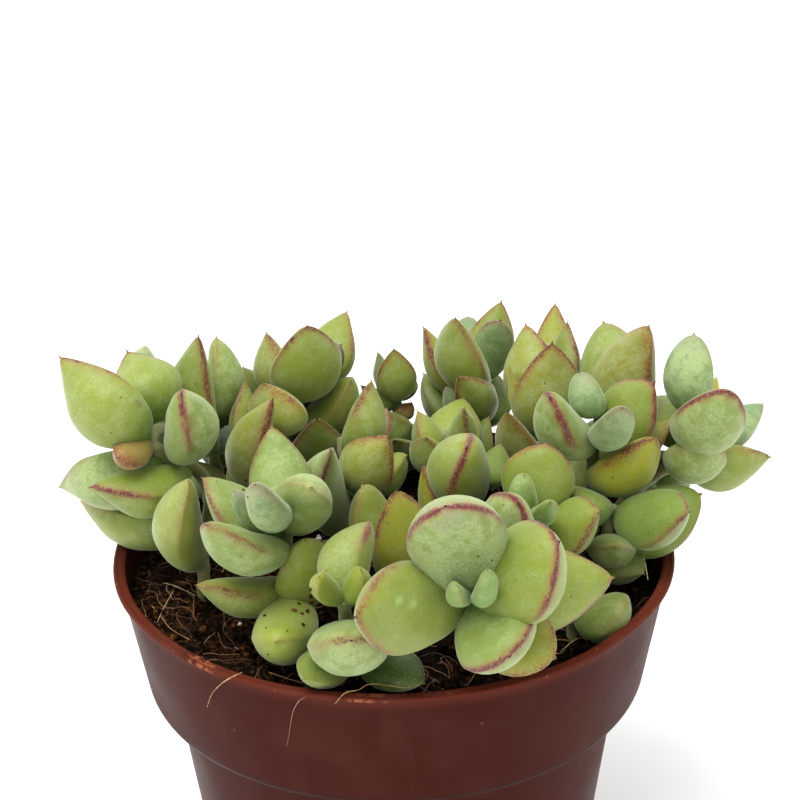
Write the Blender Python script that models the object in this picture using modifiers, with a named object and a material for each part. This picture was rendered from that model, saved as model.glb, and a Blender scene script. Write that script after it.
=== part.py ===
"""A potted cotyledon: a brown nursery pot, its soil and its leafy stems. Metres, +Z up.

The origin is the middle of the pot's flat base. Each leafy stem is one solid: a stem with its pairs of
fleshy leaves. The leaves' places were read by eye in a front view, so the table of stems gives a point as
its place in that view, in pixels, and its depth behind the pot's middle, in millimetres.
"""

import math
from dataclasses import dataclass

import bmesh
import bpy
import numpy as np
from mathutils import Vector, noise

MM = 0.001
MERGE_BELOW = 0.01 * MM

# Pot
RIM_HEIGHT = 92.0 * MM
FLANGE_RADIUS = 60.0 * MM
FLANGE_THICKNESS = 0.9 * MM
COLLAR_TOP_RADIUS = 58.8 * MM
COLLAR_FOOT_RADIUS = 54.3 * MM
COLLAR_DEPTH = 27.7 * MM
BODY_TOP_RADIUS = 49.1 * MM
BASE_RADIUS = 40.8 * MM
LIP_WIDTH = 2.4 * MM
WALL = 1.2 * MM
EDGE_ROUNDING = 1.0 * MM
POT_SIDES = 40
DRAIN_HOLES = 6
DRAIN_RADIUS = 3.0 * MM
DRAIN_CIRCLE = 29.0 * MM
DRAIN_SIDES = 12

# Soil
SOIL_TOP = RIM_HEIGHT - 5.5 * MM
SOIL_LUMP = 1.6 * MM
SOIL_GRAIN = 14.0 * MM
SOIL_SEED = 7.3
SOIL_OCTAVES = 3
SOIL_DIMENSION = 1.0
SOIL_LACUNARITY = 2.0
SOIL_LEVEL_EDGE = 0.17
SOIL_RINGS = 7
SOIL_SIDES = 30
FIT_GAP = 0.3 * MM

# Stems and leaves
STEM_RADIUS = 1.6 * MM
STEM_TIP_SHARE = 0.75
STEM_DEPTH = 12.0 * MM
STEM_RISE = 1.5 * MM
STEM_ROUNDNESS = 1
HOLE_GAP = 0.5 * MM
HOLE_SIDES = 8
LEAF_SIDES = 6
LEAF_RINGS = 6
LEAF_THICKNESS = 0.68
UPPER_SHARE = 0.42
MUCRO_SHARE = 0.12
MUCRO_POWER = 12
EDGE_KEENING = 0.5
BLUNT_ROUNDING = 0.8
BELLY = 0.10
FOOT_FULLNESS = 0.5
TIP_FULLNESS = 0.72
BLUNT_SHARE = 0.32
NECK_SHARE = 0.2
FOOT_WIDTH = 0.45
FOOT_INSET = 0.3
WIDEST_POWER = 1.05

# The front view in which the leaves' places were read: its eye, before and above the middle of the rim
VIEW_BEFORE = 345.2 * MM
VIEW_ABOVE = 190.8 * MM
VIEW_PITCH = math.radians(24.33)
VIEW_ROLL = math.radians(-1.14)
VIEW_YAW = math.radians(0.34)
VIEW_FOCAL = 1823.0
VIEW_MIDDLE = 400.0

# Leaves that press on each other are parted along the lines of sight
PART_ROUNDS = 90
PART_CELL = 5.0
PART_GAP = 0.45
PART_STEM_SHARE = 0.15
PART_MOST = 6.0
PART_LEAF_SHARE = 0.45
PART_RINGS = 22
PART_SIDES = 26
FREE_FROM = 0.45


@dataclass(frozen=True)
class Leaf:
    """A leaf: the stem point it grows from, its tip in the front view, and its size."""

    at: float
    x: float
    y: float
    depth: float
    wide: float
    blunt: float = 0.3
    thick: float = LEAF_THICKNESS
    upper: tuple = ()


@dataclass(frozen=True)
class LeafyStem:
    """A stem: its points in the front view from the soil up, as (x, y, depth), and its leaves."""

    name: str
    points: tuple
    leaves: tuple


LEAFY_STEMS = (
    LeafyStem(
        "leafy_stem_far_left",
        ((201, 567, 0), (210, 505, 0), (203, 478, -1), (185, 463, -3), (166, 455, -5), (151, 441, -7),
         (163, 424, 2), (172, 408, 8)),
        (
            Leaf(5, 61, 358, -5, 16, blunt=0.1, upper=(0.3, 0.4, -1)),
            Leaf(6, 128, 353, 10, 15, blunt=0.2, upper=(-0.3, 0.2, -1)),
            Leaf(6.5, 143, 352, 24, 11, blunt=0.9),
            Leaf(3.6, 181, 395, -14, 13, blunt=0.6, thick=0.85, upper=(-1, 0, 0.15)),
            Leaf(5, 118, 457, -16, 7, blunt=0.9, thick=0.9, upper=(0, 0.3, 1)),
            Leaf(4, 60, 487, 8, 14.5, blunt=0, upper=(0, 0.6, -0.8)),
            Leaf(4, 160, 403, 16, 12),
            Leaf(2.6, 92, 487, -17, 14, blunt=0.2, thick=0.8, upper=(0, 1, 0.25)),
        ),
    ),
    LeafyStem(
        "leafy_stem_left",
        ((204, 594, -12), (204, 578, -13), (202, 558, -11), (199, 535, -8), (196, 517, -3)),
        (
            Leaf(1.5, 189, 482, -22, 13, blunt=0.5, thick=0.78, upper=(1, 0, 0)),
            Leaf(3.5, 81, 501, 7, 12, upper=(0, 0.8, -0.5)),
        ),
    ),
    LeafyStem(
        "leafy_stem_second_left",
        ((226, 519, 22), (221, 485, 22), (213, 455, 21), (211, 425, 21), (212, 400, 22)),
        (
            Leaf(2, 199, 337, 14, 15.5, blunt=0.2, upper=(0.7, 0, -0.7)),
            Leaf(3, 216, 339, 27, 12, blunt=0.8),
            Leaf(3, 243, 368, 30, 10),
            Leaf(0.8, 198, 462, 19, 11),
            Leaf(2, 176, 372, 30, 11),
            Leaf(3, 200, 360, 44, 12),
            Leaf(2, 235, 420, 42, 11),
        ),
    ),
    LeafyStem(
        "leafy_stem_back_left",
        ((317, 487, 38), (313, 450, 38), (304, 420, 37), (297, 400, 36), (299, 380, 37)),
        (
            Leaf(3.6, 307, 327, 27, 16.5, blunt=0.5, upper=(-0.3, 0.15, -1)),
            Leaf(0.8, 317, 419, 22, 13),
            Leaf(3, 267, 334, 37, 13),
            Leaf(3.7, 346, 313, 46, 15.5),
            Leaf(3.5, 340, 346, 30, 7.5, blunt=0.95, upper=(0.1, 0.2, 1)),
            Leaf(2, 350, 382, 32, 13.5, blunt=0.8),
            Leaf(1, 352, 412, 34, 12),
            Leaf(2, 240, 368, 38, 10),
            Leaf(3.5, 290, 345, 54, 12),
            Leaf(2.4, 325, 392, 52, 14),
            Leaf(2, 270, 410, 52, 11),
        ),
    ),
    LeafyStem(
        "leafy_stem_middle_left",
        ((259, 540, 12), (258, 505, 12), (257, 475, 12), (264, 450, 13), (280, 432, 15), (300, 424, 18)),
        (
            Leaf(5, 264, 384, 11, 13.5, upper=(0.3, 0.7, -0.6)),
            Leaf(2.5, 245, 383, 24, 9),
            Leaf(1.4, 273, 400, -1, 12, thick=0.75, upper=(0.8, 0, -0.2)),
            Leaf(1.5, 235, 455, 18, 9),
        ),
    ),
    LeafyStem(
        "leafy_stem_middle",
        ((358, 545, 10), (360, 510, 10), (356, 485, 9), (345, 458, 10), (342, 437, 12)),
        (
            Leaf(3, 371, 382, 13, 12),
            Leaf(3, 386, 409, 24, 10),
            Leaf(2, 389, 437, 3, 12.5, upper=(0.3, 0.2, -0.9)),
            Leaf(2, 405, 456, 3, 11.5, blunt=0.9),
            Leaf(0.3, 331, 450, -22, 13.5, blunt=0.2, upper=(0.35, 0.3, 1)),
            Leaf(1.5, 330, 465, 14, 9),
        ),
    ),
    LeafyStem(
        "leafy_stem_back_middle",
        ((405, 470, 46), (400, 440, 47), (398, 415, 48), (396, 398, 50), (394, 378, 50)),
        (
            Leaf(3, 394, 350, 43, 9.5),
            Leaf(3, 378, 353, 54, 6),
            Leaf(2.5, 362, 386, 46, 8),
            Leaf(3, 405, 372, 52, 8, blunt=0.6),
            Leaf(2, 411, 403, 41, 6),
            Leaf(3.5, 398, 360, 62, 9),
            Leaf(1.3, 384, 412, 40, 11),
            Leaf(1, 412, 428, 42, 11),
            Leaf(0.6, 395, 440, 36, 11),
        ),
    ),
    LeafyStem(
        "leafy_stem_back_right",
        ((479, 491, 36), (478, 455, 37), (477, 425, 37), (478, 398, 38), (485, 373, 38)),
        (
            Leaf(3.5, 456, 319, 30, 15.3),
            Leaf(3, 424, 328, 40, 11),
            Leaf(3.5, 469, 318, 58, 11, blunt=0.9),
            Leaf(3.7, 501, 303, 50, 11),
            Leaf(3.6, 500, 322, 34, 9.5, blunt=0.95, upper=(0, 0.2, 1)),
            Leaf(2, 449, 387, 29, 7, blunt=0.9),
            Leaf(2.5, 458, 378, 22, 11, upper=(-0.7, 0.7, 0)),
            Leaf(2.6, 458, 368, 57, 12),
            Leaf(2, 497, 375, 52, 12),
            Leaf(2, 425, 375, 46, 13, blunt=0.8),
        ),
    ),
    LeafyStem(
        "leafy_stem_inner_right",
        ((538, 511, 26), (542, 475, 27), (545, 445, 27), (545, 420, 28), (545, 393, 30)),
        (
            Leaf(2.5, 552, 344, 21, 16.5),
            Leaf(3, 526, 326, 36, 14, upper=(0.6, 0, -0.8)),
            Leaf(4, 555, 305, 48, 10),
            Leaf(3.5, 567, 323, 37, 10),
            Leaf(2, 510, 367, 24, 6.5, thick=0.4),
            Leaf(1.3, 508, 413, 16, 12),
            Leaf(3, 550, 375, 54, 12),
        ),
    ),
    LeafyStem(
        "leafy_stem_far_back_right",
        ((592, 519, 17), (604, 487, 18), (620, 452, 22), (629, 425, 24), (630, 400, 26)),
        (
            Leaf(3, 604, 324, 31, 15.5, blunt=0.6, upper=(0.3, 0, -1)),
            Leaf(3, 649, 327, 16, 16.5, thick=0.8, upper=(0.8, 0, -0.6)),
            Leaf(4, 602, 370, 16, 6),
            Leaf(3, 630, 350, 42, 12),
            Leaf(2.6, 600, 420, 42, 12),
            Leaf(3, 668, 396, 34, 13),
        ),
    ),
    LeafyStem(
        "leafy_stem_right",
        ((592, 545, 10), (592, 510, 9), (592, 478, 7), (593, 452, 6), (598, 430, 6), (600, 408, 8)),
        (
            Leaf(2, 653, 438, -7, 14, blunt=0.5, upper=(-0.3, 0.8, -0.5)),
            Leaf(3.3, 551, 398, -9, 12.4, blunt=0.9, thick=0.8, upper=(0.85, 0.5, 0)),
            Leaf(3.5, 653, 384, 8, 14, blunt=0.4, upper=(-0.3, 0.3, 0.9)),
            Leaf(4.7, 581, 374, 3, 8, blunt=1, thick=0.9),
            Leaf(4, 622, 408, -15, 8.6, blunt=0.9, thick=0.8, upper=(0, 1, 0.3)),
            Leaf(0.9, 577, 450, 16, 10),
            Leaf(2.5, 673, 420, 10, 10),
        ),
    ),
    LeafyStem(
        "leafy_stem_far_right",
        ((612, 545, 10), (622, 505, 12), (650, 478, 13), (678, 460, 11), (690, 432, 10), (693, 405, 12)),
        (
            Leaf(4, 728, 392, -4, 14.6, blunt=0.8, upper=(0.2, 0.9, -0.35)),
            Leaf(4.5, 694, 336, 15, 11.5, blunt=0.85),
            Leaf(4, 762, 404, 16, 12.5, blunt=0.3),
            Leaf(3, 716, 440, -4, 12.8, upper=(0, 0.6, -0.8)),
            Leaf(3, 769, 457, 9, 13.5, upper=(0, 0.8, -0.6)),
            Leaf(5, 716, 378, 20, 5.5),
            Leaf(4, 708, 392, 34, 14),
            Leaf(3.6, 676, 398, 24, 12.5),
            Leaf(2.5, 690, 470, 28, 11),
            Leaf(2, 665, 455, 30, 12),
        ),
    ),
    LeafyStem(
        "leafy_stem_low_right",
        ((605, 578, -5), (606, 550, -5), (608, 525, -5), (615, 505, -3)),
        (
            Leaf(2.6, 688, 512, -17, 14.2, upper=(-0.2, 0.5, 0.9)),
            Leaf(1.3, 699, 495, -3, 15, blunt=0.7, upper=(-0.5, 0.3, 0.8)),
            Leaf(2.7, 560, 488, 0, 12.4, blunt=0.6),
            Leaf(1.5, 617, 546, -15, 10, blunt=0.2),
            Leaf(1, 642, 573, -18, 11, blunt=0.5),
        ),
    ),
    LeafyStem(
        "leafy_stem_centre",
        ((439, 536, 14), (440, 505, 14), (441, 475, 14), (446, 452, 14), (450, 432, 15)),
        (
            Leaf(3, 463, 399, 23, 12.5),
            Leaf(1.2, 488, 418, 24, 11),
            Leaf(3, 464, 409, 6, 8, upper=(-1, 0, 0.3)),
            Leaf(3, 418, 412, 16, 10),
            Leaf(2.5, 427, 438, 6, 11),
        ),
    ),
    LeafyStem(
        "leafy_stem_centre_front",
        ((463, 567, 0), (470, 535, 0), (476, 508, 0), (480, 485, 1), (482, 465, 3)),
        (
            Leaf(2.4, 467, 449, -13, 15, blunt=0.8, thick=0.85, upper=(0.6, 0.1, 0.7)),
            Leaf(1.5, 423, 467, -2, 11, thick=0.8),
            Leaf(3, 500, 445, 15, 8.5),
        ),
    ),
    LeafyStem(
        "leafy_stem_inner_front",
        ((525, 581, -6), (527, 555, -8), (529, 535, -10), (531, 518, -11), (532, 506, -12)),
        (
            Leaf(3, 546, 445, -8, 15, blunt=0.7, upper=(0, -0.2, 1)),
            Leaf(3.7, 525, 476, -18, 6.3, blunt=1, thick=0.9),
            Leaf(3.7, 550, 502, -22, 5.3, blunt=1, thick=0.9),
            Leaf(2, 519, 503, -34, 14, blunt=0.8, thick=0.8, upper=(0.8, 0.6, 0.1)),
            Leaf(2, 598, 512, -14, 13, blunt=0.4, upper=(-0.5, 0.5, 0.8)),
        ),
    ),
    LeafyStem(
        "leafy_stem_front",
        ((465, 651, -34), (466, 625, -36), (471, 603, -39), (475, 592, -44)),
        (
            Leaf(2.5, 446, 508, -50, 18, blunt=0.8, upper=(0, -0.3, 1)),
            Leaf(2.1, 509, 655, -57, 16.6, blunt=0.85, thick=0.62, upper=(-0.3, 0.3, 1)),
            Leaf(2, 357, 617, -57, 16.8, blunt=0.4, upper=(0.2, 0, 1)),
            Leaf(2.5, 557, 543, -44, 19.5, blunt=0.6, upper=(-0.6, 0.4, 0.8)),
            Leaf(2, 611, 578, -38, 16.5, blunt=0.4, upper=(-0.3, 0, 1)),
            Leaf(1.5, 553, 657, -46, 14, blunt=0.8, upper=(-0.3, 0.3, 1)),
            Leaf(2.7, 457, 586, -54, 4.3, blunt=1, thick=0.9),
            Leaf(2.7, 487, 571, -53, 4.6, blunt=1, thick=0.9),
        ),
    ),
    LeafyStem(
        "leafy_stem_front_right",
        ((573, 640, -28), (574, 622, -29), (577, 606, -30)),
        (
            Leaf(1, 627, 604, -32, 12, blunt=1),
            Leaf(1.7, 590, 572, -20, 9),
        ),
    ),
    LeafyStem(
        "leafy_stem_front_left",
        ((296, 622, -22), (293, 595, -23), (288, 568, -25), (286, 545, -26), (288, 522, -27),
         (286, 505, -28)),
        (
            Leaf(4, 272, 428, -15, 12.3, blunt=0.3),
            Leaf(3.5, 311, 489, -38, 11.5, blunt=0.9, thick=0.8, upper=(0.1, 0.1, 1)),
            Leaf(4.7, 256, 485, -42, 7.4, blunt=0.95, thick=0.95),
            Leaf(3.5, 204, 479, -24, 13, blunt=0.4),
            Leaf(4, 236, 492, -31, 6.5, blunt=0.9, thick=0.9),
            Leaf(3, 207, 525, -38, 13, blunt=0.7, upper=(0, 1, 0.15)),
            Leaf(1.5, 198, 585, -36, 12, blunt=0.4, upper=(0, 0.9, 0)),
            Leaf(1.5, 330, 540, -14, 9),
            Leaf(0.8, 304, 541, -36, 12.5, blunt=0.9),
            Leaf(1.2, 276, 641, -58, 12.6, blunt=1, thick=0.88, upper=(0, 0.5, -0.6)),
        ),
    ),
    LeafyStem(
        "leafy_stem_front_middle",
        ((351, 657, -37), (348, 634, -39), (345, 612, -42), (343, 598, -44)),
        (
            Leaf(2, 369, 523, -21, 11.5, blunt=0.6, thick=0.85, upper=(0.85, 0, -0.4)),
            Leaf(2.7, 320, 578, -50, 5.2, blunt=1, thick=0.9, upper=(0.8, 0, 0.5)),
            Leaf(2.7, 360, 571, -50, 5.6, blunt=1, thick=0.9, upper=(-0.8, 0, 0.5)),
            Leaf(1.3, 351, 640, -52, 15.4, blunt=0.9, thick=0.66, upper=(0, 1, 0.3)),
            Leaf(0.7, 304, 678, -59, 9.5, blunt=0.5),
            Leaf(0.8, 422, 682, -53, 9.8, blunt=0.6),
        ),
    ),
    LeafyStem(
        "leafy_stem_inner_left",
        ((404, 610, -13), (402, 590, -14), (400, 570, -15), (393, 545, -15)),
        (
            Leaf(1.5, 396, 492, -27, 14, blunt=0.5, upper=(-0.3, 0, -1)),
            Leaf(2.5, 363, 487, -13, 11.5, blunt=0.8),
        ),
    ),
)

POT_COLOUR = (0.16, 0.055, 0.035)
POT_ROUGHNESS = 0.45
SOIL_COLOUR = (0.035, 0.02, 0.012)
SOIL_ROUGHNESS = 0.95
LEAF_COLOUR = (0.36, 0.47, 0.14)
LEAF_ROUGHNESS = 0.5
SHARP_ANGLE = 35.0
LEAF_SHARP_ANGLE = 75.0


# The front view


def view_axes():
    """The front view's line of sight, and its right and up, as unit vectors."""
    ahead = np.array([math.sin(VIEW_YAW) * math.cos(VIEW_PITCH),
                      math.cos(VIEW_YAW) * math.cos(VIEW_PITCH), -math.sin(VIEW_PITCH)])
    level = np.cross(ahead, [0.0, 0.0, 1.0])
    level /= np.linalg.norm(level)
    upright = np.cross(level, ahead)
    turn_cos, turn_sin = math.cos(VIEW_ROLL), math.sin(VIEW_ROLL)
    return ahead, level * turn_cos + upright * turn_sin, upright * turn_cos - level * turn_sin


AHEAD, RIGHT, UPRIGHT = view_axes()
EYE = np.array([0.0, -VIEW_BEFORE, RIM_HEIGHT + VIEW_ABOVE])


def from_view(x, y, depth):
    """The point seen at pixel x, y that lies depth millimetres behind the pot's middle."""
    ray = AHEAD + RIGHT * (x - VIEW_MIDDLE) / VIEW_FOCAL + UPRIGHT * (VIEW_MIDDLE - y) / VIEW_FOCAL
    return EYE + ray * (depth * MM - EYE[1]) / ray[1]


def to_view(points):
    """The pixels at which points are seen, and their depths in millimetres."""
    offset = points - EYE
    away = offset @ AHEAD
    x = VIEW_MIDDLE + VIEW_FOCAL * (offset @ RIGHT) / away
    y = VIEW_MIDDLE - VIEW_FOCAL * (offset @ UPRIGHT) / away
    return x, y, points[..., 1] / MM


# The form of a leaf


def bow(along):
    """A bow that is 0 at both ends and 1 in the middle."""
    return 4 * along * (1 - along)


def leaf_points(grown, along, around):
    """Points on a grown leaf, at shares along it from foot to tip and angles around it from its margin."""
    leaf = grown.leaf
    span = grown.tip - grown.foot
    length = np.linalg.norm(span)
    ahead = span / length
    upper = grown.upright - (grown.upright @ ahead) * ahead
    upper /= np.linalg.norm(upper)
    side = np.cross(ahead, upper)
    fullness = FOOT_FULLNESS + (TIP_FULLNESS - BLUNT_SHARE * leaf.blunt - FOOT_FULLNESS) * along
    neck = np.clip(along / NECK_SHARE, 0, 1)
    taper = FOOT_WIDTH + (1 - FOOT_WIDTH) * neck * (2 - neck)
    outline = np.sin(math.pi * along**WIDEST_POWER).clip(0) ** fullness * taper
    belly = np.sin(math.pi * along).clip(0) ** fullness * taper
    half_width = 0.5 * leaf.wide * MM * outline
    thickness = leaf.wide * leaf.thick * MM * belly
    height = np.where(np.sin(around) > 0, UPPER_SHARE, 1 - UPPER_SHARE) * thickness
    keenness = 1 + EDGE_KEENING * along * (1 - BLUNT_ROUNDING * leaf.blunt)
    lift = np.sign(np.sin(around)) * np.abs(np.sin(around)) ** keenness * height
    sag = -BELLY * length * bow(along)
    mucro = MUCRO_SHARE * (1 - leaf.blunt)
    reach = length * ((1 - mucro) * along + mucro * along**MUCRO_POWER)
    return (
        grown.foot
        + reach[..., None] * ahead
        + (half_width * np.cos(around))[..., None] * side
        + (lift + sag)[..., None] * upper
    )


class GrownLeaf:
    """A leaf at its place: its foot, its tip and the direction its upper face turns to."""

    def __init__(self, leaf, foot, tip, upright):
        self.leaf = leaf
        self.foot = foot
        self.tip = tip
        self.upright = upright


class GrownStem:
    """A leafy stem at its place, with the slides that part it from its neighbours."""

    def __init__(self, plan):
        self.plan = plan
        self.slide = 0.0
        self.leaf_slides = np.zeros(len(plan.leaves))

    def points(self):
        """The stem's points from its foot in the soil up."""
        above = [from_view(x, y, depth + (self.slide if i else 0.0))
                 for i, (x, y, depth) in enumerate(self.plan.points)]
        return np.array(above)

    def leaves(self):
        """The stem's grown leaves."""
        line = self.points()
        grown = []
        for leaf, slide in zip(self.plan.leaves, self.leaf_slides):
            at = min(leaf.at, len(line) - 1 - FOOT_INSET)
            low = int(at)
            foot = line[low] + (line[low + 1] - line[low]) * (at - low)
            upright = line[low + 1] - line[low]
            if leaf.upper:
                right, up, toward = leaf.upper
                upright = RIGHT * right + UPRIGHT * up - AHEAD * toward
            upright = upright / np.linalg.norm(upright)
            tip = from_view(leaf.x, leaf.y, leaf.depth + self.slide + slide)
            grown.append(GrownLeaf(leaf, foot, tip, upright))
        return grown


# Parting the leaves that press on each other


class Shadow:
    """The stretch of each line of sight that a body fills, on a grid of cells over the front view."""

    def __init__(self, points):
        x, y, depth = to_view(points.reshape(-1, 3))
        column, row = (x // PART_CELL).astype(int), (y // PART_CELL).astype(int)
        self.left, self.top = column.min(), row.min()
        self.right, self.bottom = column.max() + 1, row.max() + 1
        shape = (self.bottom - self.top, self.right - self.left)
        self.near, self.far = np.full(shape, np.inf), np.full(shape, -np.inf)
        cell = (row - self.top, column - self.left)
        np.minimum.at(self.near, cell, depth)
        np.maximum.at(self.far, cell, depth)

    def window(self, left, right, top, bottom):
        """The near and far depths in a window of cells."""
        rows = slice(top - self.top, bottom - self.top)
        columns = slice(left - self.left, right - self.left)
        return self.near[rows, columns], self.far[rows, columns]


def shared_stretches(one, other):
    """The near and far depths of two shadows on the cells that both cover, or None."""
    left, right = max(one.left, other.left), min(one.right, other.right)
    top, bottom = max(one.top, other.top), min(one.bottom, other.bottom)
    if left >= right or top >= bottom:
        return None
    near, far = one.window(left, right, top, bottom)
    other_near, other_far = other.window(left, right, top, bottom)
    both = np.isfinite(near) & np.isfinite(other_near)
    return (near[both], far[both], other_near[both], other_far[both]) if both.any() else None


def part_leaves(stems):
    """Slides leaves and stems along the lines of sight until none lies in another."""
    along, around = np.meshgrid(np.linspace(0, 1, PART_RINGS + 1)[1:],
                                np.linspace(0, 2 * math.pi, PART_SIDES), indexing="ij")
    free = along[:, 0] > FREE_FROM
    owners = [(i, j) for i, stem in enumerate(stems) for j in range(len(stem.plan.leaves))]
    before = {}
    for _ in range(PART_ROUNDS):
        bodies = [leaf_points(grown, along, around) for stem in stems for grown in stem.leaves()]
        shadows = [Shadow(body) for body in bodies]
        free_shadows = [Shadow(body[free]) for body in bodies]
        pressing = False
        for a, (stem_a, leaf_a) in enumerate(owners):
            for b in range(a + 1, len(owners)):
                stem_b, leaf_b = owners[b]
                same = stem_a == stem_b
                kind = free_shadows if same else shadows
                shared = shared_stretches(kind[a], kind[b])
                if shared is None:
                    continue
                near_a, far_a, near_b, far_b = shared
                in_front = before.setdefault((a, b), (near_a + far_a).mean() < (near_b + far_b).mean())
                press = PART_GAP + ((far_a - near_b).max() if in_front else (far_b - near_a).max())
                if press <= 0:
                    continue
                pressing = True
                sense = -1 if in_front else 1
                stems[stem_a].leaf_slides[leaf_a] += sense * press * PART_LEAF_SHARE
                stems[stem_b].leaf_slides[leaf_b] -= sense * press * PART_LEAF_SHARE
                if not same:
                    stems[stem_a].slide += sense * press * PART_STEM_SHARE
                    stems[stem_b].slide -= sense * press * PART_STEM_SHARE
        for stem in stems:
            stem.leaf_slides = stem.leaf_slides.clip(-PART_MOST, PART_MOST)
        if not pressing:
            break


# Shapes


def collect(name):
    """A new collection in the scene."""
    collection = bpy.data.collections.new(name)
    bpy.context.scene.collection.children.link(collection)
    return collection


def place(name, mesh, collection):
    """A new object for a mesh, in a collection."""
    thing = bpy.data.objects.new(name, mesh)
    collection.objects.link(thing)
    return thing


def made_mesh(source, name, collection):
    """The object that replaces one whose modifiers or bevel are made real."""
    evaluated = source.evaluated_get(bpy.context.evaluated_depsgraph_get())
    mesh = bpy.data.meshes.new_from_object(evaluated)
    shape = bmesh.new()
    shape.from_mesh(mesh)
    bmesh.ops.remove_doubles(shape, verts=shape.verts, dist=MERGE_BELOW)
    shape.to_mesh(mesh)
    shape.free()
    thing = place(name, mesh, collection)
    thing.matrix_world = source.matrix_world
    bpy.data.objects.remove(source)
    return thing


def turned(name, profile, sides, collection):
    """A solid of revolution: its profile of (radius, height) runs from the axis round to the axis."""
    mesh = bpy.data.meshes.new(name)
    points = [(radius, 0.0, height) for radius, height in profile]
    mesh.from_pydata(points, [(i, i + 1) for i in range(len(points) - 1)], [])
    outline = place(name + "_profile", mesh, collection)
    screw = outline.modifiers.new("turn", "SCREW")
    screw.steps = screw.render_steps = sides
    screw.use_merge_vertices = True
    screw.merge_threshold = MERGE_BELOW
    return made_mesh(outline, name, collection)


def rod(name, points, radii, collection):
    """A round rod along a line of points."""
    curve = bpy.data.curves.new("line", "CURVE")
    curve.dimensions = "3D"
    curve.bevel_depth = 1.0
    curve.bevel_resolution = STEM_ROUNDNESS
    curve.use_fill_caps = True
    spline = curve.splines.new("POLY")
    spline.points.add(len(points) - 1)
    for point, place_at, radius in zip(spline.points, points, radii):
        point.co = (*place_at, 1.0)
        point.radius = radius
    return made_mesh(place("line", curve, collection), name, collection)


def upright_cylinder(name, x, y, low, high, radius, sides, collection):
    """An upright cylinder between two heights."""
    shape = bmesh.new()
    bmesh.ops.create_cone(shape, cap_ends=True, segments=sides, radius1=radius, radius2=radius,
                          depth=high - low)
    bmesh.ops.translate(shape, verts=shape.verts, vec=(x, y, (low + high) / 2))
    mesh = bpy.data.meshes.new(name)
    shape.to_mesh(mesh)
    shape.free()
    cutter = place(name, mesh, collection)
    cutter.display_type = "WIRE"


def join(thing, others, operation):
    """Joins or cuts a thing by a collection of others, and removes them."""
    boolean = thing.modifiers.new("join", "BOOLEAN")
    boolean.operation = operation
    boolean.operand_type = "COLLECTION"
    boolean.collection = others
    evaluated = thing.evaluated_get(bpy.context.evaluated_depsgraph_get())
    mesh = bpy.data.meshes.new_from_object(evaluated)
    thing.modifiers.clear()
    thing.data = mesh
    for other in list(others.objects):
        bpy.data.objects.remove(other)


def finish(thing, colour, roughness, sharp_above):
    """Names the mesh as its object, shades it smooth and gives it its own material."""
    thing.data.name = thing.name
    material = bpy.data.materials.new(thing.name)
    material.use_nodes = True
    shader = material.node_tree.nodes["Principled BSDF"]
    shader.inputs["Base Color"].default_value = (*colour, 1.0)
    shader.inputs["Roughness"].default_value = roughness
    shader.inputs["Metallic"].default_value = 0.0
    thing.data.materials.clear()
    thing.data.materials.append(material)
    thing.data.shade_smooth()
    thing.data.set_sharp_from_angle(angle=math.radians(sharp_above))


# Pot


def pot_inside(gap):
    """The pot's inner side from its lip down to its floor, drawn in by a gap."""
    ledge = RIM_HEIGHT - COLLAR_DEPTH + WALL
    return [
        (FLANGE_RADIUS - LIP_WIDTH - gap, RIM_HEIGHT + FLANGE_THICKNESS),
        (COLLAR_FOOT_RADIUS - WALL - gap, ledge + gap),
        (BODY_TOP_RADIUS - WALL - gap, ledge + gap),
        (BASE_RADIUS - WALL - gap, WALL + gap),
    ]


def build_pot(collection, cutters):
    """The pot: a turned shell with drain holes in its floor."""
    foot = RIM_HEIGHT - COLLAR_DEPTH
    profile = [
        (0.0, WALL),
        *reversed(pot_inside(0.0)),
        (FLANGE_RADIUS, RIM_HEIGHT + FLANGE_THICKNESS),
        (FLANGE_RADIUS, RIM_HEIGHT),
        (COLLAR_TOP_RADIUS, RIM_HEIGHT),
        (COLLAR_FOOT_RADIUS, foot + EDGE_ROUNDING),
        (COLLAR_FOOT_RADIUS - EDGE_ROUNDING, foot),
        (BODY_TOP_RADIUS, foot),
        (BASE_RADIUS, EDGE_ROUNDING),
        (BASE_RADIUS - EDGE_ROUNDING, 0.0),
        (0.0, 0.0),
    ]
    pot = turned("pot", profile, POT_SIDES, collection)
    for i in range(DRAIN_HOLES):
        angle = 2 * math.pi * i / DRAIN_HOLES
        upright_cylinder("drain", DRAIN_CIRCLE * math.cos(angle), DRAIN_CIRCLE * math.sin(angle),
                         -WALL, 2 * WALL, DRAIN_RADIUS, DRAIN_SIDES, cutters)
    join(pot, cutters, "DIFFERENCE")
    finish(pot, POT_COLOUR, POT_ROUGHNESS, SHARP_ANGLE)


# Soil


def soil_lump(x, y):
    """The soil's rise or fall at a place, zero at the pot's wall."""
    level = noise.fractal(Vector((x, y, SOIL_SEED)) / SOIL_GRAIN, SOIL_DIMENSION,
                          SOIL_LACUNARITY, SOIL_OCTAVES)
    from_wall = 1 - math.hypot(x, y) / FLANGE_RADIUS
    return SOIL_LUMP * level * min(1.0, from_wall / SOIL_LEVEL_EDGE)


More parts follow.
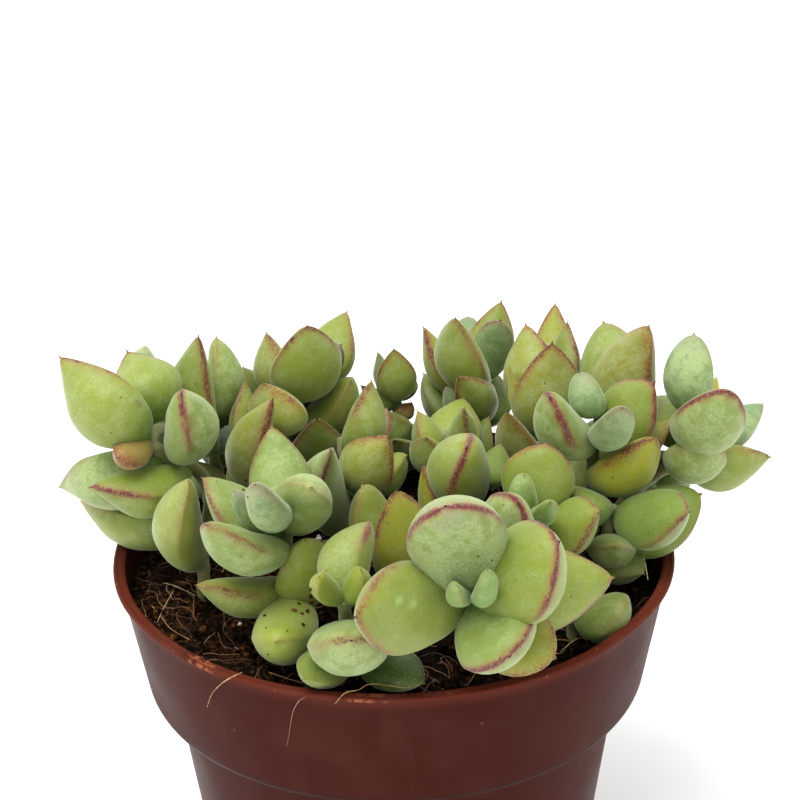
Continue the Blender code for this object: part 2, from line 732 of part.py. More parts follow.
def build_soil(stems, collection, cutters):
    """The soil: it fills the pot below its lip, with a lumpy top and a plain hole for each stem."""
    inside = pot_inside(FIT_GAP)
    (lip_radius, lip_height), (foot_radius, foot_height) = inside[:2]
    drop = (lip_height - SOIL_TOP) / (lip_height - foot_height)
    edge = lip_radius + (foot_radius - lip_radius) * drop
    top = [(edge * ring / SOIL_RINGS, SOIL_TOP) for ring in range(SOIL_RINGS + 1)]
    profile = [*top, *inside[1:], (0.0, WALL + FIT_GAP)]
    soil = turned("soil", profile, SOIL_SIDES, collection)
    for vertex in soil.data.vertices:
        if vertex.co.z > SOIL_TOP - FIT_GAP:
            vertex.co.z += soil_lump(vertex.co.x, vertex.co.y)
    for stem in stems:
        x, y, _ = stem.points()[0]
        upright_cylinder("hole", x, y, SOIL_TOP - STEM_DEPTH - FIT_GAP, SOIL_TOP + STEM_DEPTH,
                         STEM_RADIUS + HOLE_GAP, HOLE_SIDES, cutters)
    join(soil, cutters, "DIFFERENCE")
    finish(soil, SOIL_COLOUR, SOIL_ROUGHNESS, SHARP_ANGLE)


# Leafy stems


def leaf_object(grown, collection):
    """A leaf: a sphere drawn out to the leaf's form."""
    shape = bmesh.new()
    bmesh.ops.create_uvsphere(shape, u_segments=LEAF_SIDES, v_segments=LEAF_RINGS, radius=1.0)
    places = np.array([vertex.co for vertex in shape.verts])
    along = ((1 - places[:, 2]) / 2).clip(0, 1)
    around = np.arctan2(places[:, 1], places[:, 0])
    for vertex, point in zip(shape.verts, leaf_points(grown, along, around)):
        vertex.co = point
    bmesh.ops.triangulate(shape, faces=shape.faces)
    bmesh.ops.recalc_face_normals(shape, faces=shape.faces)
    mesh = bpy.data.meshes.new("leaf")
    shape.to_mesh(mesh)
    shape.free()
    return place("leaf", mesh, collection)


def build_leafy_stem(stem, collection, leaves):
    """A leafy stem: a rod from its hole in the soil up, with its leaves joined to it."""
    line = stem.points()
    below = line[0] * (1, 1, 0)
    line = [below + (0, 0, SOIL_TOP - STEM_DEPTH), below + (0, 0, SOIL_TOP + STEM_RISE), *line[1:]]
    radii = np.linspace(STEM_RADIUS, STEM_RADIUS * STEM_TIP_SHARE, len(line))
    stalk = rod(stem.plan.name, line, radii, collection)
    for grown in stem.leaves():
        leaf_object(grown, leaves)
    join(stalk, leaves, "UNION")
    finish(stalk, LEAF_COLOUR, LEAF_ROUGHNESS, LEAF_SHARP_ANGLE)


def main():
    """Builds the pot, its soil and its leafy stems."""
    for old in list(bpy.data.objects):
        bpy.data.objects.remove(old)
    plant = collect("potted_cotyledon")
    cutters = collect("cutters")
    leaves = collect("leaves")
    cutters.hide_render = leaves.hide_render = True
    stems = [GrownStem(plan) for plan in LEAFY_STEMS]
    part_leaves(stems)
    build_pot(plant, cutters)
    build_soil(stems, plant, cutters)
    for stem in stems:
        build_leafy_stem(stem, plant, leaves)
    for helper in (cutters, leaves):
        bpy.data.collections.remove(helper)


if __name__ == "__main__":
    main()
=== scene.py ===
"""The potted cotyledon in its finished looks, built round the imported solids.

Every leaf is grown again from the places and sizes that the solids were made from, with a fine skin, a raised
margin and a spiked tip. The pot and the soil are made finely as well, and crumbs, bark, perlite, fibres and
hair roots lie on them.
"""

import logging
import math
from dataclasses import dataclass, field
from enum import Enum
from typing import Callable, Iterable, Sequence

import bmesh
import bpy
import numpy as np
from mathutils import Matrix, Vector, noise


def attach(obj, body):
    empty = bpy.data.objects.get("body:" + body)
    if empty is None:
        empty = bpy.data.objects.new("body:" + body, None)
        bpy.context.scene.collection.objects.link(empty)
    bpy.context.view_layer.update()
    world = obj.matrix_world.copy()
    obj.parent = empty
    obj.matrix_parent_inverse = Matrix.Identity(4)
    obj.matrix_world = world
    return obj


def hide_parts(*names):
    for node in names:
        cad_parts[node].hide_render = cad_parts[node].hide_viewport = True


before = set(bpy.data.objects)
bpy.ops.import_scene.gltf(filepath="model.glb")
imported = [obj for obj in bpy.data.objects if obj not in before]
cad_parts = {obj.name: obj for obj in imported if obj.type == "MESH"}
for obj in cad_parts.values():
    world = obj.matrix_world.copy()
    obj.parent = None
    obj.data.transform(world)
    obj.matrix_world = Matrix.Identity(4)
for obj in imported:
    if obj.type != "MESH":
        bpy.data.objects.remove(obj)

log = logging.getLogger("potted_cotyledon")

MM = 0.001
BODY = "root"
SMALLEST = 0.01 * MM
Colour = tuple[float, float, float]
Socket = bpy.types.NodeSocket


def tint(red: float, green: float, blue: float) -> Colour:
    """A linear colour from display values of 0 to 255.

    Args:
        red: the display's red.
        green: the display's green.
        blue: the display's blue.

    Returns:
        The three linear values.
    """
    shares = (value / 255 for value in (red, green, blue))
    linear = [s / 12.92 if s <= 0.04045 else ((s + 0.055) / 1.055) ** 2.4 for s in shares]
    return linear[0], linear[1], linear[2]


def as_mesh(name: str, shape: bmesh.types.BMesh) -> bpy.types.Mesh:
    """Makes a mesh of a shape.

    Args:
        name: the mesh's name.
        shape: the shape, which is freed.

    Returns:
        The mesh.
    """
    mesh = bpy.data.meshes.new(name)
    shape.to_mesh(mesh)
    shape.free()
    return mesh


def in_scene(name: str, data: bpy.types.ID) -> bpy.types.Object:
    """Makes an object and puts it in the scene.

    Args:
        name: its name.
        data: its mesh, light or camera.

    Returns:
        The object.
    """
    thing = bpy.data.objects.new(name, data)
    bpy.context.scene.collection.objects.link(thing)
    return thing


# Finishes


class Paint:
    """A material in the making: its nodes, with short calls for those that the finishes use."""

    def __init__(self, name: str, **gloss: float) -> None:
        """Starts a material.

        Args:
            name: the material's name.
            gloss: the shader's own values, with underscores for the spaces in their names.
        """
        self.material = bpy.data.materials.new(name)
        self.material.use_nodes = True
        self.tree = self.material.node_tree
        self.shader = self.tree.nodes["Principled BSDF"]
        self.here = self.add("ShaderNodeTexCoord").outputs["Object"]
        for label, value in gloss.items():
            self.shader.inputs[label.replace("_", " ")].default_value = value

    def add(self, kind: str, **settings: object) -> bpy.types.Node:
        """Adds a node.

        Args:
            kind: the node's type.
            settings: values of its own properties.

        Returns:
            The new node.
        """
        node = self.tree.nodes.new(kind)
        for label, value in settings.items():
            setattr(node, label, value)
        return node

    def feed(self, socket: Socket, value: Socket | Colour | float) -> None:
        """Links a value to a socket, or sets it there.

        Args:
            socket: the input.
            value: another node's output, a colour or a number.
        """
        if isinstance(value, bpy.types.NodeSocket):
            self.tree.links.new(value, socket)
        elif isinstance(value, tuple):
            socket.default_value = (*value, 1.0) if socket.type == "RGBA" else value
        else:
            socket.default_value = value

    def carried(self, name: str) -> tuple[Socket, Socket, Socket]:
        """Reads the three parts of a value that the surface carries.

        Args:
            name: the attribute's name.

        Returns:
            The three parts.
        """
        parts = self.add("ShaderNodeSeparateXYZ")
        self.feed(parts.inputs[0], self.add("ShaderNodeAttribute", attribute_name=name).outputs["Vector"])
        return parts.outputs[0], parts.outputs[1], parts.outputs[2]

    def stretched(self, scale: Sequence[float]) -> Socket:
        """The place on the piece, stretched.

        Args:
            scale: the stretch along X, Y and Z.

        Returns:
            The stretched place.
        """
        mapping = self.add("ShaderNodeMapping")
        self.feed(mapping.inputs["Vector"], self.here)
        mapping.inputs["Scale"].default_value = tuple(scale)
        return mapping.outputs[0]

    def mottle(self, grain: float, detail: float = 2.0, place: Socket | None = None) -> Socket:
        """A soft random pattern from 0 to 1.

        Args:
            grain: the size of its patches in metres.
            detail: how many finer layers it has.
            place: where it is read, which is the place on the piece if it isn't given.

        Returns:
            The pattern.
        """
        node = self.add("ShaderNodeTexNoise")
        self.feed(node.inputs["Vector"], place or self.here)
        node.inputs["Scale"].default_value = 1 / grain
        node.inputs["Detail"].default_value = detail
        return node.outputs[0]

    def spots(self, grain: float) -> tuple[Socket, Socket]:
        """Scattered cells.

        Args:
            grain: the cells' size in metres.

        Returns:
            The distance from a cell's middle, as a share of the grain, and a random number for each cell.
        """
        node = self.add("ShaderNodeTexVoronoi")
        self.feed(node.inputs["Vector"], self.here)
        node.inputs["Scale"].default_value = 1 / grain
        parts = self.add("ShaderNodeSeparateColor")
        self.feed(parts.inputs[0], node.outputs["Color"])
        return node.outputs["Distance"], parts.outputs[0]

    def rise(self, value: Socket, low: float, high: float, start: float = 0.0, end: float = 1.0) -> Socket:
        """A smooth step of a value.

        Args:
            value: what it follows.
            low: where it starts.
            high: where it ends, which may be below low.
            start: its result up to low.
            end: its result from high.

        Returns:
            The step.
        """
        node = self.add("ShaderNodeMapRange", interpolation_type="SMOOTHSTEP")
        if low > high:
            low, high, start, end = high, low, end, start
        for label, number in (("From Min", low), ("From Max", high), ("To Min", start), ("To Max", end)):
            node.inputs[label].default_value = number
        self.feed(node.inputs["Value"], value)
        return node.outputs[0]

    def calc(self, operation: str, first: Socket | float, second: Socket | float = 0.0) -> Socket:
        """Works out one sum.

        Args:
            operation: the sum's name.
            first: its first number.
            second: its second number.

        Returns:
            The result.
        """
        node = self.add("ShaderNodeMath", operation=operation)
        self.feed(node.inputs[0], first)
        self.feed(node.inputs[1], second)
        return node.outputs[0]

    def times(self, *shares: Socket | float) -> Socket:
        """The product of several shares.

        Args:
            shares: the numbers.

        Returns:
            Their product.
        """
        product = shares[0]
        for share in shares[1:]:
            product = self.calc("MULTIPLY", product, share)
        return product

    def over(self, under: Socket | Colour, colour: Socket | Colour, share: Socket | float,
             mode: str = "MIX") -> Socket:
        """Lays a colour over another.

        Args:
            under: the colour below.
            colour: the colour above.
            share: how much it covers.
            mode: the way of mixing.

        Returns:
            The mixed colour.
        """
        node = self.add("ShaderNodeMix", data_type="RGBA", blend_type=mode)
        self.feed(node.inputs["Factor"], share)
        self.feed(node.inputs[6], under)
        self.feed(node.inputs[7], colour)
        return node.outputs[2]

    def coats(self, base: Socket | Colour, *coats: tuple[Colour, Socket | float]) -> Socket:
        """Lays colours over a base, each over the last.

        Args:
            base: the colour below them all.
            coats: each colour with how much it covers.

        Returns:
            The mixed colour.
        """
        for colour, share in coats:
            base = self.over(base, colour, share)
        return base

    def relief(self, height: Socket, depth: float, strength: float) -> None:
        """Raises the surface's fine relief.

        Args:
            height: the pattern.
            depth: its depth in metres.
            strength: how strongly it shows.
        """
        node = self.add("ShaderNodeBump")
        node.inputs["Strength"].default_value = strength
        node.inputs["Distance"].default_value = depth
        self.feed(node.inputs["Height"], height)
        self.feed(self.shader.inputs["Normal"], node.outputs[0])

    def done(self, colour: Socket | Colour, roughness: Socket | float) -> bpy.types.Material:
        """Finishes the material.

        Args:
            colour: its colour.
            roughness: its roughness.

        Returns:
            The material.
        """
        self.feed(self.shader.inputs["Base Color"], colour)
        self.feed(self.shader.inputs["Roughness"], roughness)
        return self.material


@dataclass(frozen=True)
class LeafSkin:
    """The skin of leaves and stems: green flesh, pale powder, a maroon margin and fine dots."""

    powder: Colour = tint(170, 186, 132)
    sheen: Colour = (0.92, 1.0, 0.80)
    scatter: Colour = (0.9, 1.0, 0.35)
    # The darker green of random patches, and painted shade at each leaf's foot.
    deep: Colour = (0.42, 0.62, 0.18)
    glow: Colour = (1.15, 1.05, 0.60)
    maroon: Colour = tint(96, 32, 44)
    pink: Colour = tint(150, 78, 62)
    rust: Colour = tint(138, 78, 36)
    spike: Colour = tint(46, 22, 22)
    freckle: Colour = tint(70, 84, 28)
    violet: Colour = tint(112, 92, 104)
    bark: Colour = tint(112, 106, 72)
    bark_dark: Colour = tint(70, 60, 40)
    broad_grain: float = 7.5 * MM
    patch_grain: float = 2.6 * MM
    stipple_grain: float = 0.55 * MM
    fine_grain: float = 0.24 * MM
    dot_grain: float = 0.62 * MM
    dirt_grain: float = 3.1 * MM
    painted_foot_shade: float = 0.85
    powder_most: float = 0.66
    frost_most: float = 1.6
    dot_strength: float = 0.24
    freckle_strength: float = 0.42
    dusk_strength: float = 0.28
    rust_strength: float = 0.75
    halo_strength: float = 0.74
    margin_strength: float = 0.95
    tip_strength: float = 0.7
    dirt_strength: float = 0.8
    green_in_bark: float = 0.35
    relief_depth: float = 0.10 * MM
    relief_strength: float = 0.55

    def material(self) -> bpy.types.Material:
        """Makes the material.

        Returns:
            The skin, which reads the colour, place and marks that each leaf carries.
        """
        paint = Paint("leaf_skin", Specular_IOR_Level=0.36, Sheen_Weight=0.30, Sheen_Roughness=0.40,
                      Subsurface_Weight=0.10, Subsurface_Scale=0.0018, IOR=1.42)
        paint.shader.inputs["Subsurface Radius"].default_value = self.scatter
        paint.shader.inputs["Sheen Tint"].default_value = (*self.sheen, 1.0)
        tone = paint.add("ShaderNodeAttribute", attribute_name="tone")
        along, edge, side = paint.carried("place")
        bloom, blush, rim = paint.carried("marks")
        broad = paint.mottle(self.broad_grain)
        patch = paint.mottle(self.patch_grain, 3.0)
        grain = paint.mottle(self.stipple_grain)
        fine = paint.mottle(self.fine_grain, 1.0)

        flesh = tone.outputs["Color"]
        # The glow and the patches are random tone; the darker foot of each leaf is painted shade.
        for colour, share in ((self.glow, paint.rise(broad, 0.42, 0.75, 0.0, 0.75)),
                              (self.deep, paint.times(paint.rise(along, 0.42, 0.04), self.painted_foot_shade)),
                              (self.deep, paint.rise(patch, 0.52, 0.72, 0.0, 0.22))):
            flesh = paint.over(flesh, colour, share, "MULTIPLY")

        under = paint.rise(side, 0.25, -0.35)
        dusted = paint.rise(paint.calc("ADD", patch, paint.times(broad, 0.6)), 0.62, 1.02, 0.25, 1.0)
        stipple = paint.rise(grain, 0.40, 0.62, 0.55, 1.0)
        powder = paint.times(bloom, dusted, stipple, paint.calc("ADD", 0.62, paint.times(under, 0.45)),
                             paint.rise(along, 0.03, 0.3, 0.35, 1.0))
        frost = paint.times(paint.calc("SUBTRACT", bloom, 1.0), paint.rise(along, 0.78, 0.42, 0.0, self.frost_most))
        powder = paint.calc("MAXIMUM", paint.calc("MINIMUM", powder, self.powder_most), paint.times(frost, stipple))
        dot, chance = paint.spots(self.dot_grain)
        pale_dot = paint.times(paint.rise(dot, 0.34, 0.14), paint.rise(chance, 0.45, 0.6), self.dot_strength)
        freckles = paint.times(paint.rise(fine, 0.60, 0.70), paint.rise(patch, 0.42, 0.60), self.freckle_strength)
        dusky = paint.times(paint.rise(along, 0.80, 0.97), paint.rise(bloom, 0.90, 0.97),
                            paint.rise(patch, 0.36, 0.58), self.dusk_strength)

        near = paint.rise(paint.calc("ADD", edge, paint.times(broad, 1.6)), 4.0, 1.3)
        rusty = paint.times(near, paint.rise(along, 0.42, 0.86), paint.rise(grain, 0.44, 0.60), blush,
                            self.rust_strength)
        halo = paint.times(paint.rise(paint.calc("ADD", edge, patch), 2.5, 0.6), paint.rise(along, 0.40, 0.80),
                           paint.rise(grain, 0.34, 0.58, 0.35, 1.0), rim, self.halo_strength)
        wander = paint.calc("ADD", edge, paint.times(paint.calc("SUBTRACT", patch, 0.5), 1.6))
        ragged = paint.rise(paint.calc("ADD", grain, paint.times(rim, 0.22)), 0.44, 0.76, 0.30, 1.0)
        broken = paint.rise(paint.calc("ADD", broad, paint.times(rim, 0.5)), 0.62, 0.86, 0.15, 1.0)
        margin = paint.times(paint.rise(wander, 1.25, 0.10), paint.rise(along, 0.42, 0.80), ragged, broken,
                             self.margin_strength)
        tip = paint.times(paint.rise(along, 0.992, 0.998), paint.rise(rim, 0.1, 0.9), self.tip_strength)
        spiked = paint.times(paint.rise(along, 0.9965, 0.9990), paint.rise(rim, 0.0, 0.12))
        speck, luck = paint.spots(self.dirt_grain)
        dirt = paint.times(paint.rise(speck, 0.085, 0.05), paint.rise(luck, 0.62, 0.66), self.dirt_strength)
        flesh = paint.coats(flesh, (self.powder, powder), (self.powder, pale_dot), (self.freckle, freckles),
                            (self.violet, dusky), (self.rust, rusty), (self.pink, halo), (self.maroon, margin),
                            (self.maroon, tip), (self.spike, spiked), (self.spike, dirt))

        wood = paint.over(self.bark, self.bark_dark, paint.rise(patch, 0.4, 0.6))
        wood = paint.over(wood, tone.outputs["Color"], self.green_in_bark)
        dull = paint.calc("ADD", paint.rise(powder, 0.0, 0.8, 0.40, 0.62), paint.times(grain, 0.10))
        height = paint.calc("ADD", paint.times(grain, 0.6), paint.times(fine, 0.3))
        paint.relief(height, self.relief_depth, self.relief_strength)
        return paint.done(paint.over(flesh, wood, tone.outputs["Alpha"]), dull)


@dataclass(frozen=True)
class PotPlastic:
    """The pot's brown moulded plastic, dulled by dust and scuffed at its rim."""

    body: Colour = tint(60, 21, 14)
    # Painted light: the pot's top is lighter and warmer where light falls on it.
    lit_top_warm: Colour = tint(104, 46, 32)
    dust: Colour = tint(104, 74, 62)
    scuff: Colour = tint(150, 86, 60)
    # Grime on the flange, and also the colour of the painted shade under the lip and at the ledge.
    dirt: Colour = tint(30, 15, 11)
    ledge: float = 26.7 * MM
    scuffs: tuple[tuple[float, float], ...] = ((-37.5 * MM, 3.2 * MM), (-5.5 * MM, 4.2 * MM))
    cloud_grain: float = 16.0 * MM
    streak_grain: float = 9.0 * MM
    streak_stretch: tuple[float, float, float] = (1.0, 1.0, 0.16)
    fleck_grain: float = 1.4 * MM
    fine_grain: float = 0.5 * MM
    speck_grain: float = 6.0 * MM
    worn_strength: float = 0.75
    grime_strength: float = 0.45
    under_lip_shade_strength: float = 0.6
    scuff_strength: float = 0.85
    speck_strength: float = 0.6
    relief_depth: float = 0.05 * MM
    relief_strength: float = 0.35

    def material(self, rim: float) -> bpy.types.Material:
        """Makes the material.

        Args:
            rim: the height of the rim in metres.

        Returns:
            The plastic.
        """
        paint = Paint("pot_plastic", Specular_IOR_Level=0.05, IOR=1.40)
        cloud = paint.mottle(self.cloud_grain, 3.0)
        fleck = paint.mottle(self.fleck_grain, 3.0)
        streak = paint.mottle(self.streak_grain, 3.0, paint.stretched(self.streak_stretch))
        place = paint.add("ShaderNodeSeparateXYZ")
        paint.feed(place.inputs[0], paint.here)
        across, back, level = place.outputs
        worn = paint.times(paint.rise(level, rim - 1.2 * MM, rim - 0.2 * MM), paint.rise(fleck, 0.66, 0.76))
        grime = paint.times(paint.rise(level, rim - 0.1 * MM, rim + 0.7 * MM), paint.rise(cloud, 0.55, 0.68))
        # Painted shade: a thin dark band under the flange's lip, in the dirt colour.
        under_lip_shade = paint.times(paint.rise(level, rim - 1.1 * MM, rim - 0.15 * MM),
                                paint.rise(level, rim + 0.25 * MM, rim + 0.05 * MM))
        from_ledge = paint.calc("ABSOLUTE", paint.calc("SUBTRACT", level, rim - self.ledge))
        colour = paint.coats(
            self.body,
            # Painted light on the pot's top.
            (self.lit_top_warm, paint.rise(level, rim - 3.5 * MM, rim + 0.2 * MM, 0.0, 0.55)),
            (self.dust, paint.rise(cloud, 0.40, 0.75, 0.0, 0.12)),
            (self.dust, paint.rise(streak, 0.52, 0.80, 0.0, 0.10)),
            (self.scuff, paint.times(worn, self.worn_strength)),
            (self.dirt, paint.times(grime, self.grime_strength)),
            (self.dirt, paint.times(under_lip_shade, self.under_lip_shade_strength)),
            # Painted shade: a dark line where the collar steps in to the body, in the dirt colour.
            (self.dirt, paint.rise(from_ledge, 1.4 * MM, 0.6 * MM, 0.0, 0.45)),
        )
        at_front = paint.rise(back, -30 * MM, -45 * MM)
        for middle, half_wide in self.scuffs:
            from_scuff = paint.calc("ABSOLUTE", paint.calc("SUBTRACT", across, middle))
            rubbed = paint.times(paint.rise(from_scuff, half_wide, half_wide * 0.6), at_front,
                                 paint.rise(level, rim - 0.1 * MM, rim + 0.2 * MM),
                                 paint.rise(level, rim + 1.0 * MM, rim + 0.7 * MM), paint.rise(fleck, 0.42, 0.5))
            colour = paint.over(colour, self.scuff, paint.times(rubbed, self.scuff_strength))
        speck, luck = paint.spots(self.speck_grain)
        specks = paint.times(paint.rise(speck, 0.07, 0.03), paint.rise(luck, 0.55, 0.6), self.speck_strength)
        dull = paint.calc("ADD", paint.rise(cloud, 0.35, 0.7, 0.38, 0.52), paint.times(worn, 0.2))
        height = paint.calc("ADD", paint.times(paint.mottle(self.fine_grain), 0.5), fleck)
        paint.relief(height, self.relief_depth, self.relief_strength)
        return paint.done(paint.over(colour, self.dust, specks), dull)


@dataclass(frozen=True)
class PottingMix:
    """Dark peat with brown coir and bark, with painted shade that makes it nearly black under the plants."""

    name: str = "potting_mix"
    open_ground: tuple[float, float, float] = (-44 * MM, -30 * MM, 88 * MM)
    shade_from: float = 26.0 * MM
    shade_to: float = 44.0 * MM
    shade_share: float = 0.75
    clod_grain: float = 5.0 * MM
    crumb_grain: float = 1.1 * MM
    relief_depth: float = 0.6 * MM
    relief_strength: float = 0.9
    roughness: float = 0.92
    peat: Colour = tint(34, 20, 10)
    coir: Colour = tint(108, 68, 34)
    black: Colour = tint(8, 5, 3)

    def material(self) -> bpy.types.Material:
        """Makes the material.

        Returns:
            The potting mix.
        """
        paint = Paint(self.name, Specular_IOR_Level=0.05)
        clod = paint.mottle(self.clod_grain, 3.0)
        crumb = paint.mottle(self.crumb_grain, 4.0)
        from_open = paint.add("ShaderNodeVectorMath", operation="DISTANCE")
        paint.feed(from_open.inputs[0], paint.here)
        from_open.inputs[1].default_value = self.open_ground
        # Painted shade: the soil darkens with distance from the open ground, under the leaves.
        painted_shade = paint.rise(from_open.outputs["Value"], self.shade_from, self.shade_to, 0.0, self.shade_share)
        colour = paint.coats(
            self.peat,
            (self.coir, paint.times(paint.rise(crumb, 0.50, 0.72), paint.rise(clod, 0.40, 0.62))),
            (self.black, paint.rise(crumb, 0.52, 0.42, 0.0, 0.95)),
            (self.black, painted_shade),
        )
        paint.relief(crumb, self.relief_depth, self.relief_strength)
        return paint.done(colour, self.roughness)


@dataclass(frozen=True)
class Strand:
    """Coir and root fibre, whose colour each strand carries."""

    shade: Colour = (0.55, 0.5, 0.45)
    grain: float = 1.2 * MM
    roughness: float = 0.7

    def material(self) -> bpy.types.Material:
        """Makes the material.

        Returns:
            The fibre.
        """
        paint = Paint("plant_fibre", Specular_IOR_Level=0.35, Sheen_Weight=0.2)
        tone = paint.add("ShaderNodeAttribute", attribute_name="tone").outputs["Color"]
        mottled = paint.over(tone, self.shade, paint.rise(paint.mottle(self.grain), 0.45, 0.6), "MULTIPLY")
        return paint.done(mottled, self.roughness)


@dataclass(frozen=True)
class Perlite:
    """White perlite, grey in its pits."""

    white: Colour = tint(222, 218, 208)
    pit: Colour = tint(120, 110, 98)
    grain: float = 0.5 * MM
    relief_depth: float = 0.3 * MM
    relief_strength: float = 0.8
    roughness: float = 0.85

    def material(self) -> bpy.types.Material:
        """Makes the material.

        Returns:
            The perlite.
        """
        paint = Paint("perlite", Specular_IOR_Level=0.3)
        pits = paint.mottle(self.grain)
        paint.relief(pits, self.relief_depth, self.relief_strength)
        return paint.done(paint.over(self.white, self.pit, paint.rise(pits, 0.45, 0.3)), self.roughness)


@dataclass(frozen=True)
class Backdrop:
    """The pale, even floor."""

    shade: Colour = (0.96, 0.96, 0.96)
    cloud: Colour = (0.98, 0.98, 0.98)
    grain: float = 0.4
    roughness: float = 0.9

    def material(self) -> bpy.types.Material:
        """Makes the material.

        Returns:
            The floor's finish.
        """
        paint = Paint("pale_floor", Specular_IOR_Level=0.1)
        faint = paint.over(self.shade, self.cloud, paint.mottle(self.grain, 1.0), "MULTIPLY")
        return paint.done(faint, self.roughness)


# The front view, in which the leaves' places are given


@dataclass(frozen=True)
class FrontView:
    """The view that the leaves' places are given in, which is the camera's too.

    Its turns are in degrees, its focal length and middle in pixels, and its sensor in millimetres.
    """

    before: float = 345.2 * MM
    height: float = 282.8 * MM
    pitch: float = 24.33
    roll: float = -1.14
    yaw: float = 0.34
    focal: float = 1823.0
    middle: float = 400.0
    sensor: float = 36.0
    nearest: float = 0.01

    @property
    def eye(self) -> np.ndarray:
        """The eye's place."""
        return np.array([0.0, -self.before, self.height])

    def axes(self) -> tuple[np.ndarray, np.ndarray, np.ndarray]:
        """The line of sight and the view's right and up.

        Returns:
            Three unit vectors.
        """
        pitch, roll, yaw = (math.radians(turn) for turn in (self.pitch, self.roll, self.yaw))
        ahead = np.array([math.sin(yaw) * math.cos(pitch), math.cos(yaw) * math.cos(pitch), -math.sin(pitch)])
        level = np.cross(ahead, [0.0, 0.0, 1.0])
        level /= np.linalg.norm(level)
        upright = np.cross(level, ahead)
        return (ahead, level * math.cos(roll) + upright * math.sin(roll),
                upright * math.cos(roll) - level * math.sin(roll))

    def ray(self, x: float, y: float) -> np.ndarray:
        """The direction in which a pixel is seen, of length 1 along the line of sight."""
        return AHEAD + RIGHT * (x - self.middle) / self.focal + UPRIGHT * (self.middle - y) / self.focal

    def point(self, x: float, y: float, depth: float) -> np.ndarray:
        """The point seen at a pixel at a depth, which is in millimetres behind the pot's middle."""
        ray = self.ray(x, y)
        return self.eye + ray * (depth * MM + self.before) / ray[1]

    def on_level(self, x: float, y: float, height: float) -> np.ndarray:
        """The point seen at a pixel on the level of a height."""
        ray = self.ray(x, y)
        return self.eye + ray * (height - self.height) / ray[2]

    def on_ring(self, x: float, y: float, radius: float) -> np.ndarray:
        """The near point seen at a pixel on an upright ring round the middle.

        Args:
            x: the pixel's column.
            y: the pixel's row.
            radius: the ring's radius.

        Returns:
            The point.
        """
        ray, start = self.ray(x, y)[:2], self.eye[:2]
        square, along = ray @ ray, ray @ start
        reach = (-along - math.sqrt(max(along**2 - square * (start @ start - radius**2), 0.0))) / square
        return self.eye + self.ray(x, y) * reach

    def seen(self, points: np.ndarray) -> tuple[np.ndarray, np.ndarray, np.ndarray]:
        """Where points are seen.

        Args:
            points: the points.

        Returns:
            Their pixels' columns and rows, and their depths in millimetres.
        """
        offset = points - self.eye
        away = offset @ AHEAD
        return (self.middle + self.focal * (offset @ RIGHT) / away,
                self.middle - self.focal * (offset @ UPRIGHT) / away, points[..., 1] / MM)

    def camera(self) -> bpy.types.Object:
        """Makes the camera.

        Returns:
            The camera.
        """
        data = bpy.data.cameras.new("camera")
        data.sensor_fit = "HORIZONTAL"
        data.sensor_width = self.sensor
        data.lens = self.focal * data.sensor_width / (2 * self.middle)
        data.clip_start = self.nearest
        camera = in_scene("camera", data)
        turn = Matrix([RIGHT, UPRIGHT, -AHEAD]).transposed().to_4x4()
        camera.matrix_world = Matrix.Translation(self.eye) @ turn
        return camera


VIEW = FrontView()
AHEAD, RIGHT, UPRIGHT = VIEW.axes()


# Pieces


def dress(name: str, shape: bmesh.types.BMesh, finish: bpy.types.Material,
          carried: dict[str, np.ndarray] | None = None, replaces: str = "") -> bpy.types.Object:
    """Makes a piece of a finished shape and hands it to the frame.

    Args:
        name: the piece's name.
        shape: its shape, which is freed.
        finish: its material.
        carried: values for each vertex, by attribute name.
        replaces: the node that it stands for, if any.

    Returns:
        The piece.
    """
    mesh = as_mesh(name, shape)
    mesh.shade_smooth()
    mesh.materials.append(finish)
    for label, values in (carried or {}).items():
        kind = "FLOAT_COLOR" if values.shape[1] == 4 else "FLOAT_VECTOR"
        attribute = mesh.attributes.new(label, kind, "POINT")
        key = "color" if kind == "FLOAT_COLOR" else "vector"
        attribute.data.foreach_set(key, values.astype(np.float32).ravel())
    piece = in_scene(name, mesh)
    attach(piece, BODY)
    if replaces:
        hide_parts(replaces)
    return piece


def half_section(shape: bmesh.types.BMesh, points: Iterable[tuple[float, float]]) -> list[bmesh.types.BMEdge]:
    """Draws half of a turned body's section through corners of radius and height, and gives its edges."""
    corners = [shape.verts.new((radius, 0.0, height)) for radius, height in points]
    return [shape.edges.new(pair) for pair in zip(corners, corners[1:])]


def turn_round(shape: bmesh.types.BMesh, steps: int) -> None:
    """Turns a half section into a closed body round the upright middle line.

    Args:
        shape: the shape, which holds the half section alone.
        steps: how many steps the full turn has.
    """
    bmesh.ops.spin(shape, geom=shape.verts[:] + shape.edges[:], cent=(0, 0, 0), axis=(0, 0, 1),
                   angle=math.tau, steps=steps, use_merge=True)
    bmesh.ops.remove_doubles(shape, verts=shape.verts, dist=SMALLEST)
    bmesh.ops.recalc_face_normals(shape, faces=shape.faces)


def rough_lump(shape: bmesh.types.BMesh, place: Matrix, radius: float, detail: int, roughness: float,
               chance: np.random.Generator) -> None:
    """Adds a rough lump.

    Args:
        shape: the shape that it is added to.
        place: its place, turn and stretch.
        radius: its radius.
        detail: how finely it is divided.
        roughness: how far its points stray, in metres.
        chance: the random source.
    """
    start = len(shape.verts)
    bmesh.ops.create_icosphere(shape, subdivisions=detail, radius=radius, matrix=place)
    shape.verts.ensure_lookup_table()
    for vertex in shape.verts[start:]:
        vertex.co += Vector(chance.normal(0, roughness, 3))


